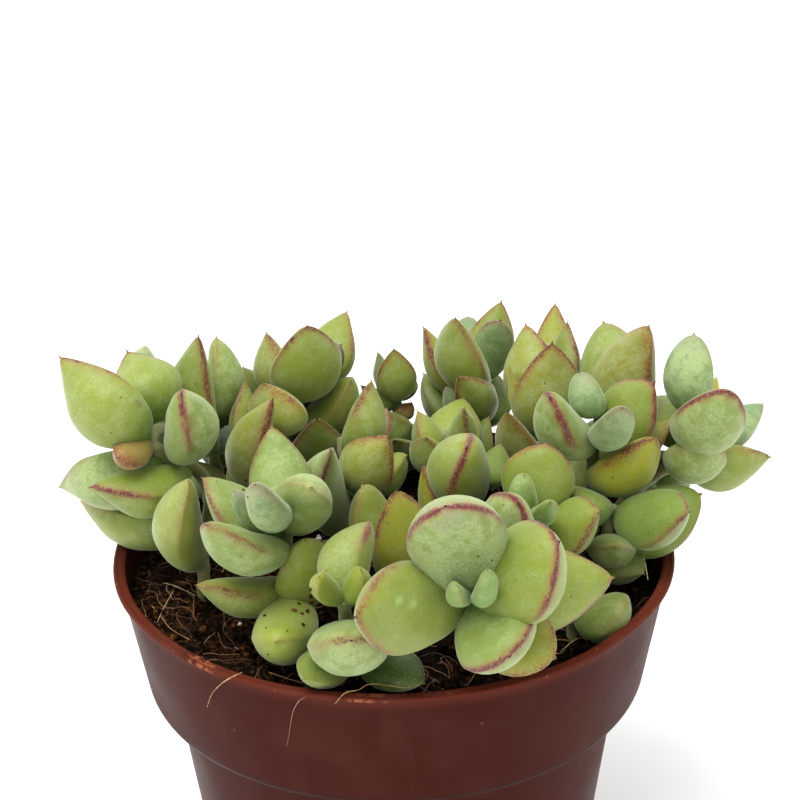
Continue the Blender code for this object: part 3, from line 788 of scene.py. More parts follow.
@dataclass(frozen=True)
class Tube:
    """A closed round tube that is laid along lines: a stem, a root or a fibre."""

    sides: int
    rings: int
    aside: tuple[float, float, float] = (0.31, 0.47, 0.83)

    def pattern(self) -> bpy.types.Mesh:
        """Makes the straight tube that each line bends.

        Returns:
            A tube of radius 1 from height 0 to 1.
        """
        shape = bmesh.new()
        bmesh.ops.create_cone(shape, cap_ends=True, segments=self.sides, radius1=1.0, radius2=1.0, depth=1.0)
        bmesh.ops.translate(shape, verts=shape.verts, vec=(0.0, 0.0, 0.5))
        upright = [edge for edge in shape.edges if abs(edge.verts[0].co.z - edge.verts[1].co.z) > 0.5]
        bmesh.ops.subdivide_edges(shape, edges=upright, cuts=self.rings - 2, use_grid_fill=True)
        return as_mesh("tube_pattern", shape)

    def lay(self, shape: bmesh.types.BMesh, pattern: bpy.types.Mesh, line: np.ndarray,
            radius: Callable[[float], float]) -> int:
        """Lays a tube along a line.

        Args:
            shape: the shape that it is added to.
            pattern: the straight tube.
            line: the line's points.
            radius: the radius at a share of the way along.

        Returns:
            How many vertices were added.
        """
        before = len(shape.verts)
        shape.from_mesh(pattern)
        shape.verts.ensure_lookup_table()
        reach = np.concatenate([[0.0], np.cumsum(np.linalg.norm(np.diff(line, axis=0), axis=1))])
        steps = np.linspace(0, 1, self.rings)
        path = np.stack([np.interp(steps * reach[-1], reach, line[:, axis]) for axis in range(3)], axis=1)
        run = np.gradient(path, axis=0)
        run /= np.linalg.norm(run, axis=1)[:, None]
        side = np.cross(run, self.aside)
        side /= np.linalg.norm(side, axis=1)[:, None]
        other = np.cross(run, side)
        for vertex in shape.verts[before:]:
            ring = round(vertex.co.z * (self.rings - 1))
            wide = radius(steps[ring])
            vertex.co = path[ring] + wide * (side[ring] * vertex.co.x + other[ring] * vertex.co.y)
        return len(shape.verts) - before


def curved(points: np.ndarray, steps: int) -> np.ndarray:
    """A smooth line through points.

    Args:
        points: the points.
        steps: how many points the line has between each two.

    Returns:
        The line's points.
    """
    ends = np.vstack([2 * points[0] - points[1], points, 2 * points[-1] - points[-2]])
    line = []
    for before, start, end, after in zip(ends, ends[1:], ends[2:], ends[3:]):
        for share in np.linspace(0, 1, steps, endpoint=False):
            line.append(0.5 * (2 * start + (end - before) * share
                               + (2 * before - 5 * start + 4 * end - after) * share**2
                               + (3 * start - before - 3 * end + after) * share**3))
    return np.array([*line, points[-1]])


# Leaves


class Skin(Enum):
    """How a leaf is coloured: its flesh, its powder, which is frost above 1, and its rusty blush from 0 to 1."""

    GREEN = (tint(118, 132, 40), 0.42, 0.50)
    LIME = (tint(138, 142, 26), 0.18, 0.60)
    POWDERED = (tint(112, 130, 52), 0.85, 0.45)
    FROSTED = (tint(112, 130, 52), 1.55, 0.40)
    PALE = (tint(104, 132, 84), 0.98, 0.10)
    BUD = (tint(104, 138, 56), 0.60, 0.05)
    BLUSHED = (tint(128, 130, 36), 0.50, 1.00)
    MOSS = (tint(104, 124, 40), 0.34, 0.25)
    FRESH = (tint(122, 138, 24), 0.32, 0.12)
    # This skin and the next are painted shade: darker copies of the green flesh for leaves in other leaves' shade,
    # the next one in the deepest shadow.
    SHADED = (tint(92, 110, 34), 0.38, 0.30)
    DARK = (tint(56, 78, 22), 0.25, 0.10)
    WITHERED = (tint(170, 165, 60), 0.30, 0.50)
    RUSTY = (tint(134, 108, 52), 0.25, 1.00)


@dataclass(frozen=True)
class Leaf:
    """A leaf: the stem point it grows from, its tip in the front view, its size and its looks.

    Its depth and width are in millimetres. Its upper face turns so far to the right, up and toward the eye,
    or without that the way its stem grows.
    """

    at: float
    x: float
    y: float
    depth: float
    wide: float
    blunt: float = 0.3
    thick: float = 0.68
    upper: tuple[float, ...] = ()
    skin: Skin = Skin.GREEN
    rim: float = 0.6


def shaded(at: float, x: float, y: float, depth: float, wide: float, **form: float) -> Leaf:
    """A plain leaf in the shade of others, given as a leaf is."""
    return Leaf(at, x, y, depth, wide, skin=Skin.SHADED, rim=0.3, **form)


@dataclass(frozen=True)
class LeafyStem:
    """A stem: its points in the front view from the soil up, as (x, y, depth), and its leaves."""

    name: str
    points: tuple[tuple[float, float, float], ...]
    leaves: tuple[Leaf, ...]


LEAFY_STEMS = (
    LeafyStem(
        "leafy_stem_far_left",
        ((201, 567, 0), (210, 505, 0), (203, 478, -1), (185, 463, -3), (166, 455, -5), (151, 441, -7),
         (163, 424, 2), (172, 408, 8)),
        (
            Leaf(5, 61, 358, -5, 16, blunt=0.1, upper=(0.3, 0.4, -1), rim=0.5),
            Leaf(6, 128, 353, 10, 15, blunt=0.2, upper=(-0.3, 0.2, -1)),
            Leaf(6.5, 143, 352, 24, 11, blunt=0.9, skin=Skin.PALE, rim=0.1),
            Leaf(3.6, 181, 395, -14, 13, blunt=0.6, thick=0.85, upper=(-1, 0, 0.15), skin=Skin.POWDERED, rim=0.8),
            Leaf(5, 118, 457, -16, 7, blunt=0.9, thick=0.9, upper=(0, 0.3, 1), skin=Skin.RUSTY),
            Leaf(4, 60, 487, 8, 14.5, blunt=0, upper=(0, 0.6, -0.8), skin=Skin.POWDERED, rim=0.4),
            shaded(4, 160, 403, 16, 12),
            Leaf(2.6, 92, 487, -17, 14, blunt=0.2, thick=0.8, upper=(0, 1, 0.25), rim=0.7),
        ),
    ),
    LeafyStem(
        "leafy_stem_left",
        ((204, 594, -12), (204, 578, -13), (202, 558, -11), (199, 535, -8), (196, 517, -3)),
        (
            Leaf(1.5, 189, 482, -22, 13, blunt=0.5, thick=0.78, upper=(1, 0, 0), rim=0.15),
            Leaf(3.5, 81, 501, 7, 12, upper=(0, 0.8, -0.5), rim=0.4),
        ),
    ),
    LeafyStem(
        "leafy_stem_second_left",
        ((226, 519, 22), (221, 485, 22), (213, 455, 21), (211, 425, 21), (212, 400, 22)),
        (
            Leaf(2, 199, 337, 14, 15.5, blunt=0.2, upper=(0.7, 0, -0.7)),
            Leaf(3, 216, 339, 27, 12, blunt=0.8, skin=Skin.POWDERED, rim=0.2),
            shaded(3, 243, 368, 30, 10),
            shaded(0.8, 198, 462, 19, 11),
            shaded(2, 176, 372, 30, 11),
            shaded(3, 200, 360, 44, 12),
            shaded(2, 235, 420, 42, 11),
        ),
    ),
    LeafyStem(
        "leafy_stem_back_left",
        ((317, 487, 38), (313, 450, 38), (304, 420, 37), (297, 400, 36), (299, 380, 37)),
        (
            Leaf(3.6, 307, 327, 27, 16.5, blunt=0.5, upper=(-0.3, 0.15, -1)),
            Leaf(0.8, 317, 419, 22, 13, rim=0.5),
            Leaf(3, 267, 334, 37, 13, skin=Skin.BLUSHED, rim=0.4),
            Leaf(3.7, 346, 313, 46, 15.5, rim=0.5),
            Leaf(3.5, 340, 346, 30, 7.5, blunt=0.95, upper=(0.1, 0.2, 1), skin=Skin.PALE, rim=0.4),
            Leaf(2, 350, 382, 32, 13.5, blunt=0.8, rim=0.1),
            shaded(1, 352, 412, 34, 12),
            shaded(2, 240, 368, 38, 10),
            shaded(3.5, 290, 345, 54, 12),
            shaded(2.4, 325, 392, 52, 14),
            shaded(2, 270, 410, 52, 11),
        ),
    ),
    LeafyStem(
        "leafy_stem_middle_left",
        ((259, 540, 12), (258, 505, 12), (257, 475, 12), (264, 450, 13), (280, 432, 15), (300, 424, 18)),
        (
            Leaf(5, 264, 384, 11, 13.5, upper=(0.3, 0.7, -0.6), skin=Skin.BLUSHED, rim=0.4),
            Leaf(2.5, 245, 383, 24, 9, rim=0.4),
            Leaf(1.4, 273, 400, -1, 12, thick=0.75, upper=(0.8, 0, -0.2), skin=Skin.BLUSHED, rim=0.9),
            shaded(1.5, 235, 455, 18, 9),
        ),
    ),
    LeafyStem(
        "leafy_stem_middle",
        ((358, 545, 10), (360, 510, 10), (356, 485, 9), (345, 458, 10), (342, 437, 12)),
        (
            Leaf(3, 371, 382, 13, 12, rim=0.5),
            Leaf(3, 386, 409, 24, 10, skin=Skin.BLUSHED, rim=0.8),
            Leaf(2, 389, 437, 3, 12.5, upper=(0.3, 0.2, -0.9), skin=Skin.BLUSHED, rim=0.5),
            Leaf(2, 405, 456, 3, 11.5, blunt=0.9, rim=0.1),
            Leaf(0.3, 331, 450, -22, 13.5, blunt=0.2, upper=(0.35, 0.3, 1), skin=Skin.POWDERED),
            shaded(1.5, 330, 465, 14, 9),
        ),
    ),
    LeafyStem(
        "leafy_stem_back_middle",
        ((405, 470, 46), (400, 440, 47), (398, 415, 48), (396, 398, 50), (394, 378, 50)),
        (
            Leaf(3, 394, 350, 43, 9.5),
            Leaf(3, 378, 353, 54, 6, skin=Skin.PALE, rim=0.3),
            shaded(2.5, 362, 386, 46, 8),
            shaded(3, 405, 372, 52, 8, blunt=0.6),
            Leaf(2, 411, 403, 41, 6, skin=Skin.RUSTY, rim=0.3),
            shaded(3.5, 398, 360, 62, 9),
            shaded(1.3, 384, 412, 40, 11),
            shaded(1, 412, 428, 42, 11),
            shaded(0.6, 395, 440, 36, 11),
        ),
    ),
    LeafyStem(
        "leafy_stem_back_right",
        ((479, 491, 36), (478, 455, 37), (477, 425, 37), (478, 398, 38), (485, 373, 38)),
        (
            Leaf(3.5, 456, 319, 30, 15.3, rim=0.5),
            Leaf(3, 424, 328, 40, 11, skin=Skin.BLUSHED),
            Leaf(3.5, 469, 318, 58, 11, blunt=0.9, skin=Skin.PALE, rim=0.1),
            Leaf(3.7, 501, 303, 50, 11),
            Leaf(3.6, 500, 322, 34, 9.5, blunt=0.95, upper=(0, 0.2, 1), skin=Skin.PALE, rim=0.5),
            Leaf(2, 449, 387, 29, 7, blunt=0.9, skin=Skin.PALE, rim=0.3),
            Leaf(2.5, 458, 378, 22, 11, upper=(-0.7, 0.7, 0)),
            shaded(2.6, 458, 368, 57, 12),
            shaded(2, 497, 375, 52, 12),
            Leaf(2, 425, 375, 46, 13, blunt=0.8, skin=Skin.SHADED, rim=0.1),
        ),
    ),
    LeafyStem(
        "leafy_stem_inner_right",
        ((538, 511, 26), (542, 475, 27), (545, 445, 27), (545, 420, 28), (545, 393, 30)),
        (
            Leaf(2.5, 552, 344, 21, 16.5, skin=Skin.BLUSHED),
            Leaf(3, 526, 326, 36, 14, upper=(0.6, 0, -0.8), skin=Skin.BLUSHED),
            Leaf(4, 555, 305, 48, 10, skin=Skin.BLUSHED, rim=0.7),
            Leaf(3.5, 567, 323, 37, 10),
            Leaf(2, 510, 367, 24, 6.5, thick=0.4, skin=Skin.WITHERED, rim=0.1),
            Leaf(1.3, 508, 413, 16, 12, skin=Skin.BLUSHED, rim=0.4),
            shaded(3, 550, 375, 54, 12),
        ),
    ),
    LeafyStem(
        "leafy_stem_far_back_right",
        ((592, 519, 17), (604, 487, 18), (620, 452, 22), (629, 425, 24), (630, 400, 26)),
        (
            Leaf(3, 604, 324, 31, 15.5, blunt=0.6, upper=(0.3, 0, -1), rim=0.3),
            Leaf(3, 649, 327, 16, 16.5, thick=0.8, upper=(0.8, 0, -0.6), skin=Skin.BLUSHED, rim=0.5),
            Leaf(4, 602, 370, 16, 6, skin=Skin.BLUSHED, rim=0.9),
            shaded(3, 630, 350, 42, 12),
            shaded(2.6, 600, 420, 42, 12),
            shaded(3, 668, 396, 34, 13),
        ),
    ),
    LeafyStem(
        "leafy_stem_right",
        ((592, 545, 10), (592, 510, 9), (592, 478, 7), (593, 452, 6), (598, 430, 6), (600, 408, 8)),
        (
            Leaf(2, 653, 438, -7, 14, blunt=0.5, upper=(-0.3, 0.8, -0.5), skin=Skin.LIME, rim=0.7),
            Leaf(3.3, 551, 398, -9, 12.4, blunt=0.9, thick=0.8, upper=(0.85, 0.5, 0), skin=Skin.POWDERED, rim=0.9),
            Leaf(3.5, 653, 384, 8, 14, blunt=0.4, upper=(-0.3, 0.3, 0.9), rim=1.0),
            Leaf(4.7, 581, 374, 3, 8, blunt=1, thick=0.9, skin=Skin.PALE, rim=0.1),
            Leaf(4, 622, 408, -15, 8.6, blunt=0.9, thick=0.8, upper=(0, 1, 0.3), skin=Skin.PALE, rim=0.3),
            shaded(0.9, 577, 450, 16, 10),
            Leaf(2.5, 673, 420, 10, 10, skin=Skin.BLUSHED, rim=0.5),
        ),
    ),
    LeafyStem(
        "leafy_stem_far_right",
        ((612, 545, 10), (622, 505, 12), (650, 478, 13), (678, 460, 11), (690, 432, 10), (693, 405, 12)),
        (
            Leaf(4, 728, 392, -4, 14.6, blunt=0.8, upper=(0.2, 0.9, -0.35), skin=Skin.POWDERED, rim=1.0),
            Leaf(4.5, 694, 336, 15, 11.5, blunt=0.85, skin=Skin.PALE, rim=0.2),
            Leaf(4, 762, 404, 16, 12.5, skin=Skin.PALE, rim=0.1),
            Leaf(3, 716, 440, -4, 12.8, upper=(0, 0.6, -0.8), skin=Skin.POWDERED, rim=0.3),
            Leaf(3, 769, 457, 9, 13.5, upper=(0, 0.8, -0.6), rim=0.4),
            Leaf(5, 716, 378, 20, 5.5, skin=Skin.WITHERED, rim=0.2),
            shaded(4, 708, 392, 34, 14),
            Leaf(3.6, 676, 398, 24, 12.5, rim=0.2),
            shaded(2.5, 690, 470, 28, 11),
            shaded(2, 665, 455, 30, 12),
        ),
    ),
    LeafyStem(
        "leafy_stem_low_right",
        ((605, 578, -5), (606, 550, -5), (608, 525, -5), (615, 505, -3)),
        (
            Leaf(2.6, 688, 512, -17, 14.2, upper=(-0.2, 0.5, 0.9), skin=Skin.MOSS, rim=0.5),
            Leaf(1.3, 699, 495, -3, 15, blunt=0.7, upper=(-0.5, 0.3, 0.8), skin=Skin.MOSS, rim=0.4),
            Leaf(2.7, 560, 488, 0, 12.4, blunt=0.6, skin=Skin.SHADED, rim=0.1),
            Leaf(1.5, 617, 546, -15, 10, blunt=0.2, skin=Skin.SHADED, rim=0.2),
            Leaf(1, 642, 573, -18, 11, blunt=0.5, skin=Skin.SHADED, rim=0.0),
        ),
    ),
    LeafyStem(
        "leafy_stem_centre",
        ((439, 536, 14), (440, 505, 14), (441, 475, 14), (446, 452, 14), (450, 432, 15)),
        (
            Leaf(3, 463, 399, 23, 12.5, rim=0.3),
            shaded(1.2, 488, 418, 24, 11),
            Leaf(3, 464, 409, 6, 8, upper=(-1, 0, 0.3), rim=0.4),
            Leaf(3, 418, 412, 16, 10, rim=0.4),
            Leaf(2.5, 427, 438, 6, 11, rim=0.4),
        ),
    ),
    LeafyStem(
        "leafy_stem_centre_front",
        ((463, 567, 0), (470, 535, 0), (476, 508, 0), (480, 485, 1), (482, 465, 3)),
        (
            Leaf(2.4, 467, 449, -13, 15, blunt=0.8, thick=0.85, upper=(0.6, 0.1, 0.7), rim=0.8),
            Leaf(1.5, 423, 467, -2, 11, thick=0.8, skin=Skin.LIME, rim=0.8),
            Leaf(3, 500, 445, 15, 8.5, skin=Skin.SHADED, rim=0.0),
        ),
    ),
    LeafyStem(
        "leafy_stem_inner_front",
        ((525, 581, -6), (527, 555, -8), (529, 535, -10), (531, 518, -11), (532, 506, -12)),
        (
            Leaf(3, 546, 445, -8, 15, blunt=0.7, upper=(0, -0.2, 1), rim=0.7),
            Leaf(3.7, 525, 476, -18, 6.3, blunt=1, thick=0.9, skin=Skin.BUD, rim=0.2),
            Leaf(3.7, 550, 502, -22, 5.3, blunt=1, thick=0.9, skin=Skin.BUD, rim=0.2),
            Leaf(2, 519, 503, -34, 14, blunt=0.8, thick=0.8, upper=(0.8, 0.6, 0.1), skin=Skin.POWDERED, rim=1.0),
            Leaf(2, 598, 512, -14, 13, blunt=0.4, upper=(-0.5, 0.5, 0.8), rim=0.5),
        ),
    ),
    LeafyStem(
        "leafy_stem_front",
        ((465, 651, -34), (466, 625, -36), (471, 603, -39), (475, 592, -44)),
        (
            Leaf(2.5, 446, 508, -50, 18, blunt=0.8, upper=(0, -0.3, 1), skin=Skin.FROSTED, rim=1.0),
            Leaf(2.1, 509, 655, -57, 16.6, blunt=0.85, thick=0.62, upper=(-0.3, 0.3, 1),
                 skin=Skin.POWDERED, rim=1.0),
            Leaf(2, 357, 617, -57, 16.8, blunt=0.4, upper=(0.2, 0, 1)),
            Leaf(2.5, 557, 543, -44, 19.5, blunt=0.6, upper=(-0.6, 0.4, 0.8), rim=1.0),
            Leaf(2, 611, 578, -38, 16.5, blunt=0.4, upper=(-0.3, 0, 1), rim=0.5),
            Leaf(1.5, 553, 657, -46, 14, blunt=0.8, upper=(-0.3, 0.3, 1), skin=Skin.BLUSHED, rim=0.5),
            Leaf(2.7, 457, 586, -54, 4.3, blunt=1, thick=0.9, skin=Skin.BUD, rim=0.2),
            Leaf(2.7, 487, 571, -53, 4.6, blunt=1, thick=0.9, skin=Skin.BUD, rim=0.2),
        ),
    ),
    LeafyStem(
        "leafy_stem_front_right",
        ((573, 640, -28), (574, 622, -29), (577, 606, -30)),
        (
            Leaf(1, 627, 604, -32, 12, blunt=1, skin=Skin.SHADED, rim=0.05),
            Leaf(1.7, 590, 572, -20, 9, skin=Skin.SHADED, rim=0.2),
        ),
    ),
    LeafyStem(
        "leafy_stem_front_left",
        ((296, 622, -22), (293, 595, -23), (288, 568, -25), (286, 545, -26), (288, 522, -27),
         (286, 505, -28)),
        (
            Leaf(4, 272, 428, -15, 12.3, skin=Skin.POWDERED, rim=0.5),
            Leaf(3.5, 311, 489, -38, 11.5, blunt=0.9, thick=0.8, upper=(0.1, 0.1, 1), skin=Skin.POWDERED, rim=0.1),
            Leaf(4.7, 256, 485, -42, 7.4, blunt=0.95, thick=0.95, skin=Skin.PALE, rim=0.25),
            Leaf(3.5, 204, 479, -24, 13, blunt=0.4, skin=Skin.POWDERED),
            Leaf(4, 236, 492, -31, 6.5, blunt=0.9, thick=0.9, skin=Skin.PALE, rim=0.1),
            Leaf(3, 207, 525, -38, 13, blunt=0.7, upper=(0, 1, 0.15), skin=Skin.POWDERED, rim=0.5),
            Leaf(1.5, 198, 585, -36, 12, blunt=0.4, upper=(0, 0.9, 0), rim=0.4),
            Leaf(1.5, 330, 540, -14, 9, skin=Skin.SHADED, rim=0.2),
            Leaf(0.8, 304, 541, -36, 12.5, blunt=0.9, skin=Skin.FRESH, rim=0.1),
            Leaf(1.2, 276, 641, -58, 12.6, blunt=1, thick=0.88, upper=(0, 0.5, -0.6), skin=Skin.FRESH, rim=0.05),
        ),
    ),
    LeafyStem(
        "leafy_stem_front_middle",
        ((351, 657, -37), (348, 634, -39), (345, 612, -42), (343, 598, -44)),
        (
            Leaf(2, 369, 523, -21, 11.5, blunt=0.6, thick=0.85, upper=(0.85, 0, -0.4), rim=0.7),
            Leaf(2.7, 320, 578, -50, 5.2, blunt=1, thick=0.9, upper=(0.8, 0, 0.5), skin=Skin.FRESH, rim=0.15),
            Leaf(2.7, 360, 571, -50, 5.6, blunt=1, thick=0.9, upper=(-0.8, 0, 0.5), skin=Skin.FRESH, rim=0.15),
            Leaf(1.3, 351, 640, -52, 15.4, blunt=0.9, thick=0.66, upper=(0, 1, 0.3), skin=Skin.POWDERED, rim=0.25),
            Leaf(0.7, 304, 678, -59, 9.5, blunt=0.5, skin=Skin.MOSS, rim=0.05),
            # This leaf's darkest skin is painted shadow cast by the leaf above it.
            Leaf(0.8, 422, 682, -53, 9.8, blunt=0.6, skin=Skin.DARK, rim=0.0),
        ),
    ),
    LeafyStem(
        "leafy_stem_inner_left",
        ((404, 610, -13), (402, 590, -14), (400, 570, -15), (393, 545, -15)),
        (
            Leaf(1.5, 396, 492, -27, 14, blunt=0.5, upper=(-0.3, 0, -1), skin=Skin.LIME),
            Leaf(2.5, 363, 487, -13, 11.5, blunt=0.8, rim=0.1),
        ),
    ),
)


@dataclass(frozen=True)
class GrownLeaf:
    """A leaf at its place: its foot, its tip and the direction its upper face turns to."""

    leaf: Leaf
    foot: np.ndarray
    tip: np.ndarray
    upright: np.ndarray


@dataclass(frozen=True)
class LeafForm:
    """The form that all leaves share: the solids' form, and the fine relief of the finished ones.

    The ridge along the margin, the furrow inside it, the waves and the spike are in millimetres.
    """

    upper_share: float = 0.42
    mucro_share: float = 0.12
    belly: float = 0.10
    foot_fullness: float = 0.5
    tip_fullness: float = 0.72
    blunt_share: float = 0.32
    neck_share: float = 0.2
    foot_width: float = 0.45
    widest_power: float = 1.05
    keen_power: float = 0.5
    blunt_rounding: float = 0.8
    mucro_power: int = 12
    ridge_high: float = 0.17
    ridge_wide: float = 0.50
    furrow_deep: float = 0.09
    furrow_at: float = 1.35
    wave_high: float = 0.28
    wave_grain: float = 5.5 * MM
    wave_seed: float = 3.0
    ridge_from: float = 0.25
    ridge_run: float = 0.3
    tip_from: float = 0.88
    tip_run: float = 0.12
    spike_from: float = 0.990
    spike_long: float = 1.25
    spike_power: float = 1.6
    spike_thin: float = 0.80
    spike_thin_power: float = 0.5
    spike_blunting: float = 0.35

    def points(self, grown: GrownLeaf, along: np.ndarray, around: np.ndarray,
               fine: bool = False) -> tuple[np.ndarray, np.ndarray]:
        """Points on a leaf.

        Args:
            grown: the leaf.
            along: their shares of the way from foot to tip.
            around: their angles round the leaf from its margin.
            fine: whether they have the fine relief.

        Returns:
            The points, and their distances from the margin in millimetres.
        """
        leaf = grown.leaf
        span = grown.tip - grown.foot
        length = np.linalg.norm(span)
        ahead = span / length
        upper = grown.upright - (grown.upright @ ahead) * ahead
        upper /= np.linalg.norm(upper)
        side = np.cross(ahead, upper)
        tip_fullness = self.tip_fullness - self.blunt_share * leaf.blunt
        fullness = self.foot_fullness + (tip_fullness - self.foot_fullness) * along
        neck = np.clip(along / self.neck_share, 0, 1)
        taper = self.foot_width + (1 - self.foot_width) * neck * (2 - neck)
        outline = np.sin(math.pi * along**self.widest_power).clip(0) ** fullness * taper
        bulge = np.sin(math.pi * along).clip(0) ** fullness * taper
        half_width = 0.5 * leaf.wide * MM * outline
        rise = np.sin(around)
        height = np.where(rise > 0, self.upper_share, 1 - self.upper_share) * leaf.wide * leaf.thick * MM * bulge
        keenness = 1 + self.keen_power * along * (1 - self.blunt_rounding * leaf.blunt)
        lift = np.sign(rise) * np.abs(rise) ** keenness * height
        sag = -self.belly * length * 4 * along * (1 - along)
        mucro = self.mucro_share * (1 - leaf.blunt)
        reach = length * ((1 - mucro) * along + mucro * along**self.mucro_power)
        across = half_width * np.cos(around)
        inward = np.minimum(half_width - np.abs(across), length - reach)
        edge = np.hypot(inward, lift) / MM
        if fine:
            point = ((along - self.spike_from) / (1 - self.spike_from)).clip(0, 1)
            tipward = ((along - self.tip_from) / self.tip_run).clip(0, 1)
            grown_out = ((along - self.ridge_from) / self.ridge_run).clip(0, 1) * (1 - point)
            ridge = self.ridge_high * MM * np.exp(-((edge / self.ridge_wide) ** 2)) * grown_out
            furrow = self.furrow_deep * MM * np.exp(-(((edge - self.furrow_at) / self.ridge_wide) ** 2)) * grown_out
            seed = Vector(grown.foot) * self.wave_seed
            plain = grown.foot + along[..., None] * span + across[..., None] * side + lift[..., None] * upper
            wave = np.array([noise.noise((Vector(p) + seed) / self.wave_grain) for p in plain])
            wave *= self.wave_high * MM * np.sin(math.pi * along).clip(0)
            thin = 1 - self.spike_thin * point**self.spike_thin_power
            spike = self.spike_long * MM * point**self.spike_power * (1 - self.spike_blunting * leaf.blunt)
            across = (across + np.sign(np.cos(around)) * ridge * (1 - tipward)) * thin
            lift = (lift + np.sign(rise) * (wave - furrow)) * thin
            reach = reach + ridge * tipward + spike
        place = (grown.foot + reach[..., None] * ahead + across[..., None] * side
                 + (lift + sag)[..., None] * upper)
        return place, edge


FORM = LeafForm()


class GrownStem:
    """A leafy stem at its place, with the slides that part it from its neighbours."""

    foot_inset = 0.3

    def __init__(self, plan: LeafyStem) -> None:
        """Takes a stem's plan.

        Args:
            plan: the stem's row in the table.
        """
        self.plan = plan
        self.slide = 0.0
        self.leaf_slides = np.zeros(len(plan.leaves))

    def points(self) -> np.ndarray:
        """The stem's points from its foot in the soil up."""
        return np.array([VIEW.point(x, y, depth + (self.slide if i else 0.0))
                         for i, (x, y, depth) in enumerate(self.plan.points)])

    def leaves(self) -> list[GrownLeaf]:
        """Places the stem's leaves.

        Returns:
            The grown leaves.
        """
        line = self.points()
        grown = []
        for leaf, slide in zip(self.plan.leaves, self.leaf_slides):
            at = min(leaf.at, len(line) - 1 - self.foot_inset)
            low = int(at)
            foot = line[low] + (line[low + 1] - line[low]) * (at - low)
            upright = line[low + 1] - line[low]
            if leaf.upper:
                right, up, toward = leaf.upper
                upright = RIGHT * right + UPRIGHT * up - AHEAD * toward
            tip = VIEW.point(leaf.x, leaf.y, leaf.depth + self.slide + slide)
            grown.append(GrownLeaf(leaf, foot, tip, upright / np.linalg.norm(upright)))
        return grown


class Shadow:
    """The stretch of each line of sight that a leaf fills, on a grid of square cells over the view's pixels."""

    cell = 5.0

    def __init__(self, points: np.ndarray) -> None:
        """Casts a shadow.

        Args:
            points: the leaf's points.
        """
        x, y, depth = VIEW.seen(points.reshape(-1, 3))
        column, row = (x // self.cell).astype(int), (y // self.cell).astype(int)
        self.left, self.top = column.min(), row.min()
        self.right, self.bottom = column.max() + 1, row.max() + 1
        shape = (self.bottom - self.top, self.right - self.left)
        self.near, self.far = np.full(shape, np.inf), np.full(shape, -np.inf)
        cells = (row - self.top, column - self.left)
        np.minimum.at(self.near, cells, depth)
        np.maximum.at(self.far, cells, depth)

    def window(self, left: int, right: int, top: int, bottom: int) -> tuple[np.ndarray, np.ndarray]:
        """Reads a window of cells.

        Args:
            left: its first column.
            right: the column after its last.
            top: its first row.
            bottom: the row after its last.

        Returns:
            The near and far depths.
        """
        rows = slice(top - self.top, bottom - self.top)
        columns = slice(left - self.left, right - self.left)
        return self.near[rows, columns], self.far[rows, columns]

    def shared(self, other: "Shadow") -> tuple[np.ndarray, ...] | None:
        """Reads the cells that another shadow covers too.

        Args:
            other: the other shadow.

        Returns:
            Both shadows' near and far depths there, or None.
        """
        left, right = max(self.left, other.left), min(self.right, other.right)
        top, bottom = max(self.top, other.top), min(self.bottom, other.bottom)
        if left >= right or top >= bottom:
            return None
        near, far = self.window(left, right, top, bottom)
        other_near, other_far = other.window(left, right, top, bottom)
        both = np.isfinite(near) & np.isfinite(other_near)
        return (near[both], far[both], other_near[both], other_far[both]) if both.any() else None


@dataclass(frozen=True)
class Parting:
    """Slides leaves and stems along the lines of sight until none lies in another, as the solids' were.

    The gap between two leaves and the most that a leaf may slide are in millimetres.
    """

    rounds: int = 90
    gap: float = 0.45
    stem_share: float = 0.15
    leaf_share: float = 0.45
    most: float = 6.0
    rings: int = 22
    sides: int = 26
    free_from: float = 0.45

    def run(self, stems: list[GrownStem]) -> None:
        """Parts the leaves.

        Args:
            stems: the stems, whose slides are changed.
        """
        along, around = np.meshgrid(np.linspace(0, 1, self.rings + 1)[1:],
                                    np.linspace(0, 2 * math.pi, self.sides), indexing="ij")
        free = along[:, 0] > self.free_from
        owners = [(i, j) for i, stem in enumerate(stems) for j in range(len(stem.plan.leaves))]
        before: dict[tuple[int, int], bool] = {}
        for _ in range(self.rounds):
            bodies = [FORM.points(grown, along, around)[0] for stem in stems for grown in stem.leaves()]
            shadows = [Shadow(body) for body in bodies]
            free_shadows = [Shadow(body[free]) for body in bodies]
            pressing = False
            for a, (stem_a, leaf_a) in enumerate(owners):
                for b in range(a + 1, len(owners)):
                    stem_b, leaf_b = owners[b]
                    kind = free_shadows if stem_a == stem_b else shadows
                    shared = kind[a].shared(kind[b])
                    if shared is None:
                        continue
                    near_a, far_a, near_b, far_b = shared
                    in_front = before.setdefault((a, b), (near_a + far_a).mean() < (near_b + far_b).mean())
                    press = self.gap + ((far_a - near_b).max() if in_front else (far_b - near_a).max())
                    if press <= 0:
                        continue
                    pressing = True
                    push = -press if in_front else press
                    stems[stem_a].leaf_slides[leaf_a] += push * self.leaf_share
                    stems[stem_b].leaf_slides[leaf_b] -= push * self.leaf_share
                    if stem_a != stem_b:
                        stems[stem_a].slide += push * self.stem_share
                        stems[stem_b].slide -= push * self.stem_share
            for stem in stems:
                stem.leaf_slides = stem.leaf_slides.clip(-self.most, self.most)
            if not pressing:
                break


